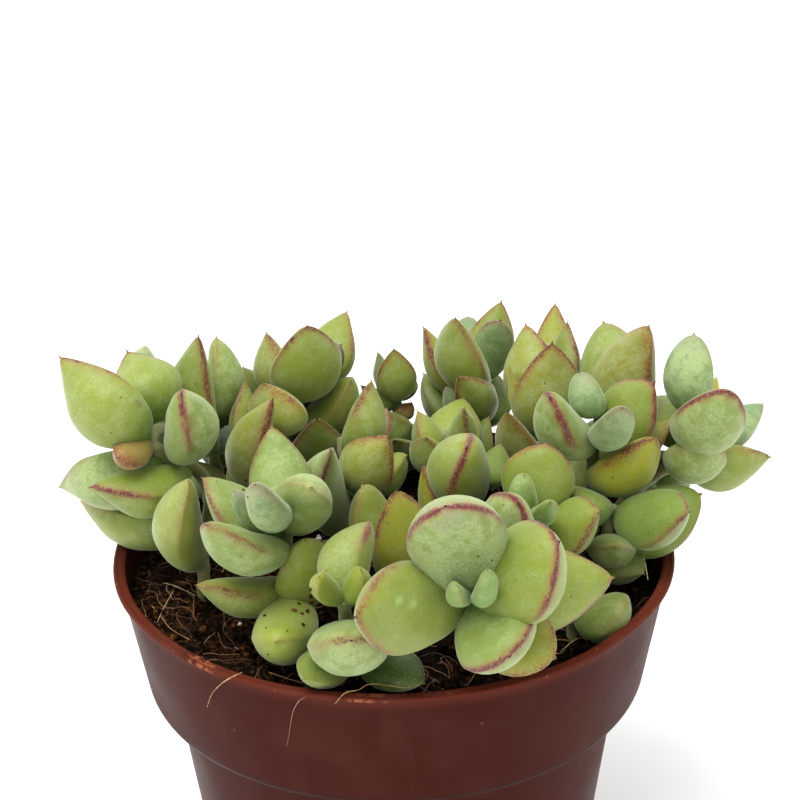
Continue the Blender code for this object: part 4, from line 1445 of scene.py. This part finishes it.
@dataclass
class Greenery:
    """All leafy stems, each one finished piece."""

    soil_top: float
    skin: bpy.types.Material
    leaf_sides: int = 40
    leaf_rings: int = 40
    stem_radius: float = 1.6 * MM
    stem_tip_share: float = 0.75
    stem_depth: float = 12.0 * MM
    stem_rise: float = 1.5 * MM
    stem_sides: int = 16
    stem_rings: int = 24
    curve_steps: int = 8
    scar_high: float = 0.16
    scar_step: float = 5.2 * MM
    scar_power: int = 3
    stem_tone: Colour = tint(150, 160, 100)
    stem_place: tuple[float, float, float] = (0.3, 9.0, 0.0)
    brightness: tuple[float, float] = (0.9, 1.1)
    hue: tuple[float, float] = (0.96, 1.04)
    seed: int = 41
    stems: list[GrownStem] = field(default_factory=list)

    def grow(self) -> None:
        """Places all stems and leaves."""
        self.stems = [GrownStem(plan) for plan in LEAFY_STEMS]
        Parting().run(self.stems)

    def pattern(self) -> bpy.types.Mesh:
        """Makes the sphere that each leaf is drawn out of.

        Returns:
            A sphere of radius 1.
        """
        shape = bmesh.new()
        bmesh.ops.create_uvsphere(shape, u_segments=self.leaf_sides, v_segments=self.leaf_rings, radius=1.0)
        return as_mesh("leaf_pattern", shape)

    def stalk(self, stem: GrownStem, shape: bmesh.types.BMesh) -> int:
        """Adds a stem itself, from its hole in the soil to its top.

        Args:
            stem: the stem.
            shape: the shape that it is added to.

        Returns:
            How many vertices were added.
        """
        line = stem.points()
        below = line[0] * (1, 1, 0)
        line = np.array([below + (0, 0, self.soil_top - self.stem_depth),
                         below + (0, 0, self.soil_top + self.stem_rise), *line[1:]])
        path = curved(line, self.curve_steps)
        long = np.linalg.norm(np.diff(path, axis=0), axis=1).sum()

        def radius(share: float) -> float:
            """The stem's radius at a share of its length, with its leaf scars."""
            scar = math.cos(2 * math.pi * share * long / self.scar_step)
            plain = self.stem_radius * (1 + (self.stem_tip_share - 1) * share)
            return plain * (1 + self.scar_high * max(0.0, scar) ** self.scar_power)

        tube = Tube(sides=self.stem_sides, rings=max(self.stem_rings, int(long / MM)))
        return tube.lay(shape, tube.pattern(), path, radius)

    def build(self) -> list[bpy.types.Object]:
        """Makes the finished pieces.

        Returns:
            The pieces.
        """
        chance = np.random.default_rng(self.seed)
        pattern = self.pattern()
        ball = np.array([vertex.co for vertex in pattern.vertices])
        along = ((1 - ball[:, 2]) / 2).clip(0, 1)
        around = np.arctan2(ball[:, 1], ball[:, 0])
        pieces = []
        for stem in self.stems:
            shape = bmesh.new()
            stalk = self.stalk(stem, shape)
            tones = [np.tile((*self.stem_tone, 1.0), (stalk, 1))]
            places = [np.tile(self.stem_place, (stalk, 1))]
            marks = [np.zeros((stalk, 3))]
            for grown in stem.leaves():
                points, edge = FORM.points(grown, along, around, fine=True)
                start = len(shape.verts)
                shape.from_mesh(pattern)
                for vertex, point in zip(shape.verts[start:], points):
                    vertex.co = point
                colour, bloom, blush = grown.leaf.skin.value
                own = np.array(colour) * chance.uniform(*self.brightness) * chance.uniform(*self.hue, 3)
                tones.append(np.tile((*own, 0.0), (len(points), 1)))
                places.append(np.stack([along, edge, np.sin(around)], axis=1))
                marks.append(np.tile((bloom, blush, grown.leaf.rim), (len(points), 1)))
            bmesh.ops.recalc_face_normals(shape, faces=shape.faces)
            carried = {"tone": np.vstack(tones), "place": np.vstack(places), "marks": np.vstack(marks)}
            name = stem.plan.name
            pieces.append(dress(name + "_skin", shape, self.skin, carried, replaces=name))
        return pieces


# The pot


@dataclass
class NurseryPot:
    """The moulded pot: a flange with a raised lip, a deep collar, a step and a tapering body."""

    rim: float = 92.0 * MM
    flange_radius: float = 60.0 * MM
    flange_thickness: float = 0.9 * MM
    collar_top: float = 58.8 * MM
    collar_foot: float = 54.3 * MM
    collar_depth: float = 27.7 * MM
    body_top: float = 49.1 * MM
    base: float = 40.8 * MM
    lip_width: float = 2.4 * MM
    wall: float = 1.2 * MM
    rounding: float = 1.0 * MM
    drain_holes: int = 6
    drain_radius: float = 3.0 * MM
    drain_circle: float = 29.0 * MM
    drain_steps: int = 32
    lip_sink: float = 0.12 * MM
    lip_slope: float = 0.35 * MM
    bead_high: float = 0.05 * MM
    bead_foot: float = 0.95 * MM
    bead_top: float = 0.72 * MM
    round_steps: int = 4
    long_side: float = 12.0 * MM
    long_cuts: int = 9
    steps: int = 192
    waver: float = 0.25 * MM
    waver_waves: float = 2.5
    sag_share: float = 0.8
    sag_waves: float = 3.0
    sag_seed: tuple[float, float, float] = (5.0, 5.0, 5.0)

    def inside(self, gap: float = 0.0) -> list[tuple[float, float]]:
        """The inner side from the lip to the floor.

        Args:
            gap: how far it is drawn in.

        Returns:
            Its points as radius and height.
        """
        ledge = self.rim - self.collar_depth + self.wall
        return [
            (self.flange_radius - self.lip_width - gap, self.rim + self.flange_thickness),
            (self.collar_foot - self.wall - gap, ledge + gap),
            (self.body_top - self.wall - gap, ledge + gap),
            (self.base - self.wall - gap, self.wall + gap),
        ]

    def collar_at(self, height: float) -> float:
        """The collar's outer radius at a height."""
        share = (self.rim - height) / self.collar_depth
        return self.collar_top + (self.collar_foot - self.collar_top) * min(max(share, 0.0), 1.0)

    def profile(self) -> list[tuple[float, float, float]]:
        """The turned outline.

        Returns:
            Its points from the floor's middle round to the base's middle: radius, height and rounding.
        """
        foot = self.rim - self.collar_depth
        top = self.rim + self.flange_thickness
        inner_lip, ledge, inner_body, floor = self.inside()
        return [
            (0.0, self.wall, 0.0),
            (*floor, 1.0 * MM),
            (*inner_body, 0.5 * MM),
            (*ledge, 0.9 * MM),
            (inner_lip[0] - 0.15 * MM, top - self.lip_slope, 0.2 * MM),
            (inner_lip[0] + 0.5 * MM, top - self.lip_sink, 0.25 * MM),
            (self.flange_radius - self.bead_foot, top - self.lip_sink, 0.15 * MM),
            (self.flange_radius - self.bead_top, top + self.bead_high, 0.12 * MM),
            (self.flange_radius, top, 0.35 * MM),
            (self.flange_radius, self.rim, 0.25 * MM),
            (self.collar_top, self.rim, 0.3 * MM),
            (self.collar_foot, foot + self.rounding, 1.0 * MM),
            (self.collar_foot - self.rounding, foot, 0.4 * MM),
            (self.body_top, foot, 0.5 * MM),
            (self.base, self.rounding, 0.9 * MM),
            (self.base - self.rounding, 0.0, 0.3 * MM),
            (0.0, 0.0, 0.0),
        ]

    def drains(self) -> bpy.types.Object:
        """Makes the cutters of the drain holes.

        Returns:
            One object that holds them all.
        """
        shape = bmesh.new()
        for i in range(self.drain_holes):
            angle = math.tau * i / self.drain_holes
            place = Matrix.Translation((self.drain_circle * math.cos(angle), self.drain_circle * math.sin(angle),
                                        self.wall / 2))
            bmesh.ops.create_cone(shape, cap_ends=True, segments=self.drain_steps, radius1=self.drain_radius,
                                  radius2=self.drain_radius, depth=3 * self.wall, matrix=place)
        return in_scene("drains", as_mesh("drains", shape))

    def build(self, plastic: bpy.types.Material) -> bpy.types.Object:
        """Makes the finished pot.

        Args:
            plastic: its material.

        Returns:
            The piece.
        """
        shape = bmesh.new()
        outline = self.profile()
        lines = half_section(shape, [(radius, height) for radius, height, _ in outline])
        tall = [line for line in lines if line.calc_length() > self.long_side]
        bmesh.ops.subdivide_edges(shape, edges=tall, cuts=self.long_cuts)
        for radius, height, rounding in outline:
            if rounding > 0:
                corner = min(shape.verts, key=lambda vertex: (vertex.co - Vector((radius, 0.0, height))).length)
                bmesh.ops.bevel(shape, geom=[corner], offset=rounding, affect="VERTICES",
                                segments=self.round_steps, profile=0.5, material=-1)
        turn_round(shape, self.steps)
        for vertex in shape.verts:
            angle = math.atan2(vertex.co.y, vertex.co.x)
            share = max(0.0, (vertex.co.z - self.rim + self.collar_depth) / self.collar_depth)
            around = Vector((math.cos(angle), math.sin(angle), 0.0))
            vertex.co += around * self.waver * share * noise.noise(around * self.waver_waves)
            sag = noise.noise(around * self.sag_waves + Vector(self.sag_seed))
            vertex.co.z += self.sag_share * self.waver * share * sag
        blank = in_scene("pot_blank", as_mesh("pot_blank", shape))
        drains = self.drains()
        cut = blank.modifiers.new("drain", "BOOLEAN")
        cut.operation = "DIFFERENCE"
        cut.object = drains
        cut.solver = "EXACT"
        holed = bpy.data.meshes.new_from_object(blank.evaluated_get(bpy.context.evaluated_depsgraph_get()))
        for helper in (blank, drains):
            bpy.data.objects.remove(helper)
        shape = bmesh.new()
        shape.from_mesh(holed)
        return dress("pot_moulding", shape, plastic, replaces="pot")


# The soil


@dataclass
class PottingSoil:
    """The body of soil in the pot, with its lumpy top."""

    pot: NurseryPot
    below_rim: float = 5.5 * MM
    gap: float = 0.3 * MM
    lump: float = 1.6 * MM
    lump_grain: float = 14.0 * MM
    lump_seed: float = 7.3
    lump_dimension: float = 1.0
    lump_lacunarity: float = 2.0
    lump_octaves: int = 3
    level_edge: float = 0.17
    clod_high: float = 1.5 * MM
    clod_grain: float = 4.5 * MM
    clod_seed: float = 0.5
    grit_high: float = 0.55 * MM
    grit_grain: float = 1.5 * MM
    grit_seed: float = 0.9
    rings: int = 110
    steps: int = 220

    @property
    def top(self) -> float:
        """The soil's mean height."""
        return self.pot.rim - self.below_rim

    def height(self, x: float, y: float) -> float:
        """The soil's height at a place.

        Args:
            x: the place along X.
            y: the place along Y.

        Returns:
            The height in metres.
        """
        from_wall = 1 - math.hypot(x, y) / self.pot.flange_radius
        coarse = noise.fractal(Vector((x, y, self.lump_seed)) / self.lump_grain, self.lump_dimension,
                               self.lump_lacunarity, self.lump_octaves)
        clods = noise.noise(Vector((x, y, self.clod_seed)) / self.clod_grain)
        grit = noise.noise(Vector((x, y, self.grit_seed)) / self.grit_grain)
        return (self.top + self.lump * coarse * min(1.0, from_wall / self.level_edge)
                + self.clod_high * clods + self.grit_high * grit)

    def build(self, mix: bpy.types.Material) -> bpy.types.Object:
        """Makes the body of soil.

        Args:
            mix: its material.

        Returns:
            The piece.
        """
        inside = self.pot.inside(self.gap)
        (lip, lip_height), (foot, foot_height) = inside[:2]
        edge = lip + (foot - lip) * (lip_height - self.top) / (lip_height - foot_height)
        shape = bmesh.new()
        outline = [(edge * i / self.rings, self.top) for i in range(self.rings + 1)]
        half_section(shape, [*outline, *inside[1:], (0.0, self.pot.wall + self.gap)])
        turn_round(shape, self.steps)
        for vertex in shape.verts:
            if vertex.co.z > self.top - self.gap:
                vertex.co.z = self.height(vertex.co.x, vertex.co.y)
        return dress("soil_bed", shape, mix, replaces="soil")


@dataclass(frozen=True)
class Bits:
    """One kind of loose bits: their radii in millimetres, their stretch, how fine they are and how many.

    The radii are the least and the largest, or where no count is given those of all bits.
    """

    name: str
    sizes: tuple[float, ...]
    stretch: tuple[float, float, float]
    detail: int
    seed: int
    count: int = 0


BITS_OF_MIX = (
    Bits("soil_clods", (0.9, 2.6), (1.0, 0.8, 0.7), detail=2, seed=6, count=260),
    Bits("soil_crumbs", (0.3, 1.0), (1.0, 0.85, 0.75), detail=1, seed=7, count=620),
    Bits("bark_bits", (0.7, 1.5), (2.2, 0.8, 0.45), detail=1, seed=8, count=60),
)
PERLITE_GRAINS = Bits("perlite_grains", (0.9, 0.5, 0.8, 0.6, 0.9, 0.7, 0.5), (1.0, 0.9, 0.8), detail=2, seed=9)
SEEN_PERLITE = ((245, 645), (235, 643))


@dataclass
class Litter:
    """Loose bits strewn over the soil: crumbs, bark, perlite and fibres.

    The least and the largest step, arch and radius of a fibre are in millimetres.
    """

    soil: PottingSoil
    spread: float = 55.5 * MM
    rough: float = 0.17
    lean: float = 0.5
    bit_lift: float = 0.35
    seed: int = 5
    fibre_seed: int = 23
    fibre_count: int = 520
    fibre_sides: int = 4
    fibre_points: int = 9
    fewest_points: int = 4
    fibre_lift: float = 0.1 * MM
    overhang: float = 1.0 * MM
    step: tuple[float, float] = (0.5, 2.0)
    arch: tuple[float, float] = (0.2, 1.0)
    fibre_radius: tuple[float, float] = (0.05, 0.17)
    curl: float = 0.30
    wander: float = 0.32
    thinning: float = 0.5
    browns: tuple[Colour, ...] = (tint(104, 60, 30), tint(138, 88, 46), tint(72, 42, 22), tint(182, 138, 86),
                                  tint(116, 64, 34))
    brown_shares: tuple[float, ...] = (0.34, 0.26, 0.22, 0.08, 0.10)

    def spots(self, chance: np.random.Generator, count: int) -> list[tuple[float, float]]:
        """Picks places on the soil.

        Args:
            chance: the random source.
            count: how many.

        Returns:
            The places.
        """
        radius = self.spread * np.sqrt(chance.uniform(0, 1, count))
        angle = chance.uniform(0, math.tau, count)
        return list(zip(radius * np.cos(angle), radius * np.sin(angle)))

    def strew(self, bits: Bits, places: Iterable[tuple[float, float]], sizes: Sequence[float],
              finish: bpy.types.Material) -> bpy.types.Object:
        """Makes loose rough bits.

        Args:
            bits: their kind.
            places: where they lie on the soil.
            sizes: their radii in metres.
            finish: their material.

        Returns:
            The piece.
        """
        chance = np.random.default_rng(bits.seed)
        shape = bmesh.new()
        for (x, y), size in zip(places, sizes):
            turn = (Matrix.Rotation(chance.uniform(0, math.tau), 4, "Z")
                    @ Matrix.Rotation(chance.uniform(-self.lean, self.lean), 4, "X"))
            place = (Matrix.Translation((x, y, self.soil.height(x, y) + self.bit_lift * size)) @ turn
                     @ Matrix.Diagonal((*bits.stretch, 1.0)))
            rough_lump(shape, place, size, bits.detail, self.rough * size, chance)
        return dress(bits.name, shape, finish)

    def path(self, chance: np.random.Generator, x: float, y: float) -> list[tuple[float, float, float]]:
        """Lets a fibre wander over the soil until it reaches the pot's wall.

        Args:
            chance: the random source.
            x: where it starts along X.
            y: where it starts along Y.

        Returns:
            Its points.
        """
        heading = chance.uniform(0, math.tau)
        step = chance.uniform(*self.step) * MM
        curl = chance.normal(0, self.curl)
        line = []
        for i in range(self.fibre_points):
            arch = math.sin(math.pi * i / (self.fibre_points - 1)) * chance.uniform(*self.arch) * MM
            if math.hypot(x, y) > self.spread + self.overhang:
                break
            line.append((x, y, self.soil.height(x, y) + self.fibre_lift + arch))
            heading += curl + chance.normal(0, self.wander)
            x += step * math.cos(heading)
            y += step * math.sin(heading)
        return line

    def fibres(self, fibre: bpy.types.Material) -> bpy.types.Object:
        """Makes the coir fibres that lie over the soil.

        Args:
            fibre: their material.

        Returns:
            The piece.
        """
        chance = np.random.default_rng(self.fibre_seed)
        tube = Tube(sides=self.fibre_sides, rings=self.fibre_points)
        pattern = tube.pattern()
        shape = bmesh.new()
        tones = []
        for x, y in self.spots(chance, self.fibre_count):
            line = self.path(chance, x, y)
            if len(line) < self.fewest_points:
                continue
            radius = chance.uniform(*self.fibre_radius) * MM
            count = tube.lay(shape, pattern, np.array(line), lambda share: radius * (1 - self.thinning * share))
            tone = self.browns[chance.choice(len(self.browns), p=self.brown_shares)]
            tones.append(np.tile((*tone, 1.0), (count, 1)))
        return dress("coir_fibres", shape, fibre, {"tone": np.vstack(tones)})

    def build(self, mix: bpy.types.Material, fibre: bpy.types.Material,
              perlite: bpy.types.Material) -> list[bpy.types.Object]:
        """Makes all loose bits.

        Args:
            mix: the soil's material.
            fibre: the fibres' material.
            perlite: the perlite's material.

        Returns:
            The pieces.
        """
        chance = np.random.default_rng(self.seed)
        pieces = []
        for bits in BITS_OF_MIX:
            places = self.spots(chance, bits.count)
            sizes = chance.uniform(*bits.sizes, bits.count) * MM
            pieces.append(self.strew(bits, places, sizes, mix))
        places = [tuple(VIEW.on_level(x, y, self.soil.top)[:2]) for x, y in SEEN_PERLITE]
        places += self.spots(chance, len(PERLITE_GRAINS.sizes) - len(places))
        sizes = [size * MM for size in PERLITE_GRAINS.sizes]
        return [*pieces, self.strew(PERLITE_GRAINS, places, sizes, perlite), self.fibres(fibre)]


@dataclass(frozen=True)
class HairRoot:
    """A hair root: its colour, its radius and its marks, each a view pixel and a lift in millimetres."""

    tone: Colour
    radius: float
    marks: tuple[tuple[float, float, float], ...]


TAN, PINK, STRAW = tint(196, 152, 96), tint(150, 104, 84), tint(206, 190, 140)
ROOTS_OVER_RIM = (
    HairRoot(TAN, 0.11, ((243, 672, 1.5), (232, 677, 1.2), (221, 684, 0.6), (212, 694, 0.5), (207, 707, 0.5))),
    HairRoot(PINK, 0.09, ((306, 697, 0.6), (299, 701, 0.5), (293, 712, 0.4), (290, 728, 0.4), (287, 746, 0.5))),
    HairRoot(TAN, 0.08, ((335, 704, 0.5), (345, 693, 1.0), (358, 690, 1.2), (372, 684, 1.6), (405, 688, 1.2))),
    HairRoot(STRAW, 0.10, ((642, 552, 2.0), (645, 562, 2.6), (648, 580, 1.8))),
)
ROOTS_ON_SOIL = (
    HairRoot(STRAW, 0.12, ((163, 583, 1.0), (172, 585, 1.6), (184, 590, 1.8), (197, 596, 1.0))),
    HairRoot(STRAW, 0.11, ((174, 590, 1.2), (167, 602, 1.8), (160, 616, 1.6), (153, 632, 0.8))),
    HairRoot(TAN, 0.10, ((268, 672, 1.2), (280, 676, 1.6), (292, 680, 1.4), (306, 683, 0.8))),
    HairRoot(TAN, 0.10, ((140, 596, 0.8), (156, 610, 1.4), (170, 628, 1.6), (190, 640, 0.8))),
    HairRoot(STRAW, 0.09, ((560, 652, 0.8), (575, 640, 1.6), (592, 634, 1.6), (608, 632, 0.8))),
)


@dataclass
class HairRoots:
    """Thin roots and threads that hang over the rim or lie over the soil."""

    pot: NurseryPot
    soil: PottingSoil
    sides: int = 8
    rings: int = 40
    curve_steps: int = 10
    ring_rounds: int = 6
    foot_share: float = 1.05
    thinning: float = 0.6
    point_share: float = 0.3
    point_growth: float = 6.0

    def on_pot(self, x: float, y: float, lift: float) -> np.ndarray:
        """The place on the pot's outside that is seen at a pixel.

        Args:
            x: the pixel's column.
            y: the pixel's row.
            lift: how far off the wall it lies.

        Returns:
            The place.
        """
        point = VIEW.on_level(x, y, self.pot.rim + self.pot.flange_thickness + lift)
        if math.hypot(point[0], point[1]) < self.pot.flange_radius:
            return point
        radius = self.pot.flange_radius
        for _ in range(self.ring_rounds):
            point = VIEW.on_ring(x, y, radius + lift)
            edge = point[2] > self.pot.rim - lift
            radius = self.pot.flange_radius if edge else self.pot.collar_at(point[2])
        return point

    def on_soil(self, x: float, y: float, lift: float) -> np.ndarray:
        """The place over the soil that is seen at a pixel, at a lift from its mean height."""
        return VIEW.on_level(x, y, self.soil.top + lift)

    def build(self, fibre: bpy.types.Material) -> bpy.types.Object:
        """Makes the roots.

        Args:
            fibre: their material.

        Returns:
            The piece.
        """
        tube = Tube(self.sides, self.rings)
        pattern = tube.pattern()
        shape = bmesh.new()
        tones = []
        for place, roots in ((self.on_pot, ROOTS_OVER_RIM), (self.on_soil, ROOTS_ON_SOIL)):
            for root in roots:

                def radius(share: float) -> float:
                    """The root's radius at a share of its length, pointed at its start."""
                    point = min(1.0, self.point_growth * share + self.point_share)
                    return root.radius * MM * (self.foot_share - self.thinning * share) * point

                line = np.array([place(x, y, lift * MM) for x, y, lift in root.marks])
                count = tube.lay(shape, pattern, curved(line, self.curve_steps), radius)
                tones.append(np.tile((*root.tone, 1.0), (count, 1)))
        return dress("hair_roots", shape, fibre, {"tone": np.vstack(tones)})


CRUMBS_ON_LEAVES = (
    (294, 611, 0.55), (303, 625, 0.4), (307, 612, 0.5), (302, 614, 0.4), (265, 616, 0.35), (266, 628, 0.2),
    (287, 631, 0.2), (268, 654, 0.2), (311, 596, 0.5), (311, 589, 0.4), (311, 602, 0.45), (299, 604, 0.35),
    (246, 480, 0.3), (243, 490, 0.3), (248, 497, 0.2), (492, 560, 0.22), (478, 556, 0.2), (229, 572, 0.2),
)
STAINS = (
    (139, 403, 0.95, tint(92, 70, 20)), (693, 377, 1.3, tint(60, 84, 20)), (687, 356, 0.8, tint(92, 88, 88)),
    (695, 350, 0.7, tint(96, 92, 92)), (399, 600, 1.1, tint(150, 176, 110)), (413, 603, 1.3, tint(146, 170, 104)),
)


@dataclass
class LeafDirt:
    """Crumbs of soil that lie on the leaves, and stains in their skin.

    Each is given as a view pixel and a radius in millimetres, and a stain has its colour too.
    """

    leaves: list[bpy.types.Object]
    stain_core: float = 1.6
    crumb_detail: int = 2
    rough: float = 0.16
    seed: int = 17

    def hit(self, x: float, y: float) -> tuple[Vector, bpy.types.Object] | None:
        """Finds what leaf is seen at a pixel.

        Args:
            x: the pixel's column.
            y: the pixel's row.

        Returns:
            The place and the piece, or nothing.
        """
        start, ray = Vector(VIEW.eye), Vector(VIEW.ray(x, y)).normalized()
        hits = [(leaf.ray_cast(start, ray), leaf) for leaf in self.leaves]
        found = [(result[1], leaf) for result, leaf in hits if result[0]]
        return min(found, key=lambda one: (one[0] - start).length) if found else None

    def stain(self, x: float, y: float, size: float, colour: Colour) -> None:
        """Stains the skin round a pixel.

        Args:
            x: the pixel's column.
            y: the pixel's row.
            size: the stain's radius in millimetres.
            colour: its colour.
        """
        found = self.hit(x, y)
        if found is None:
            return
        place, leaf = found
        tones = leaf.data.attributes["tone"].data
        for vertex, tone in zip(leaf.data.vertices, tones):
            share = 1 - (vertex.co - place).length / (size * MM)
            if share > 0:
                share = min(1.0, self.stain_core * share)
                mixed = [old + (new - old) * share for old, new in zip(tone.color, colour)]
                tone.color = (*mixed, tone.color[3])

    def build(self, mix: bpy.types.Material) -> bpy.types.Object:
        """Stains the leaves and makes the crumbs.

        Args:
            mix: the crumbs' material.

        Returns:
            The piece.
        """
        for x, y, size, colour in STAINS:
            self.stain(x, y, size, colour)
        chance = np.random.default_rng(self.seed)
        shape = bmesh.new()
        for x, y, size in CRUMBS_ON_LEAVES:
            found = self.hit(x, y)
            if found is not None:
                rough_lump(shape, Matrix.Translation(found[0]), size * MM, self.crumb_detail,
                           self.rough * size * MM, chance)
        return dress("leaf_crumbs", shape, mix)


# The studio


@dataclass(frozen=True)
class Studio:
    """A pale floor, soft light and the camera of the front view."""

    floor_wide: float = 12.0
    key_power: float = 12.0
    key_size: float = 0.8
    key_place: tuple[float, float, float] = (-0.25, -0.30, 1.15)
    aim: tuple[float, float, float] = (0.0, 0.0, 0.09)
    zenith: float = 1.25
    zenith_from: float = 0.8
    horizon: float = 0.85

    def lamp(self) -> None:
        """Makes the soft round light, which faces the plant."""
        data = bpy.data.lights.new("key_light", "AREA")
        data.energy = self.key_power
        data.shape = "DISK"
        data.size = self.key_size
        light = in_scene("key_light", data)
        ahead = Vector(self.aim) - Vector(self.key_place)
        facing = ahead.to_track_quat("-Z", "Y").to_matrix().to_4x4()
        light.matrix_world = Matrix.Translation(self.key_place) @ facing

    def sky(self) -> bpy.types.World:
        """Makes the white sky.

        Returns:
            A world that is brighter overhead than at the horizon.
        """
        world = bpy.data.worlds.new("sky")
        world.use_nodes = True
        tree = world.node_tree
        sky = tree.nodes["Background"]
        sky.inputs["Color"].default_value = (1.0, 1.0, 1.0, 1.0)
        direction = tree.nodes.new("ShaderNodeSeparateXYZ")
        tree.links.new(tree.nodes.new("ShaderNodeTexCoord").outputs["Generated"], direction.inputs[0])
        shade = tree.nodes.new("ShaderNodeMapRange")
        for label, number in (("From Min", 0.0), ("From Max", self.zenith_from), ("To Min", self.horizon),
                              ("To Max", self.zenith)):
            shade.inputs[label].default_value = number
        tree.links.new(direction.outputs[2], shade.inputs["Value"])
        tree.links.new(shade.outputs[0], sky.inputs["Strength"])
        return world

    def build(self) -> None:
        """Makes the floor, the light, the sky and the camera."""
        shape = bmesh.new()
        bmesh.ops.create_grid(shape, x_segments=1, y_segments=1, size=self.floor_wide / 2)
        floor = in_scene("floor", as_mesh("floor", shape))
        floor.data.materials.append(Backdrop().material())
        self.lamp()
        scene = bpy.context.scene
        scene.world = self.sky()
        scene.view_settings.view_transform = "Standard"
        scene.camera = VIEW.camera()


def main() -> None:
    """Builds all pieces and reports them."""
    logging.basicConfig(level=logging.INFO, format="%(message)s")
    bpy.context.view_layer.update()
    pot = NurseryPot()
    soil = PottingSoil(pot)
    mix = PottingMix().material()
    fibre = Strand().material()
    greenery = Greenery(soil.top, LeafSkin().material())
    greenery.grow()
    leaves = greenery.build()
    pieces = [*leaves, pot.build(PotPlastic().material(pot.rim)), soil.build(mix)]
    pieces += Litter(soil).build(mix, fibre, Perlite().material())
    # Soil crumbs on the leaves, without the painted shade.
    grit = PottingMix("leaf_grit", shade_share=0.0, peat=tint(84, 54, 30), coir=tint(140, 92, 52),
                      black=tint(44, 28, 16))
    pieces += [HairRoots(pot, soil).build(fibre), LeafDirt(leaves).build(grit.material())]
    for piece in pieces:
        log.info("%s: %d faces", piece.name, len(piece.data.polygons))
    Studio().build()


if __name__ == "__main__":
    main()
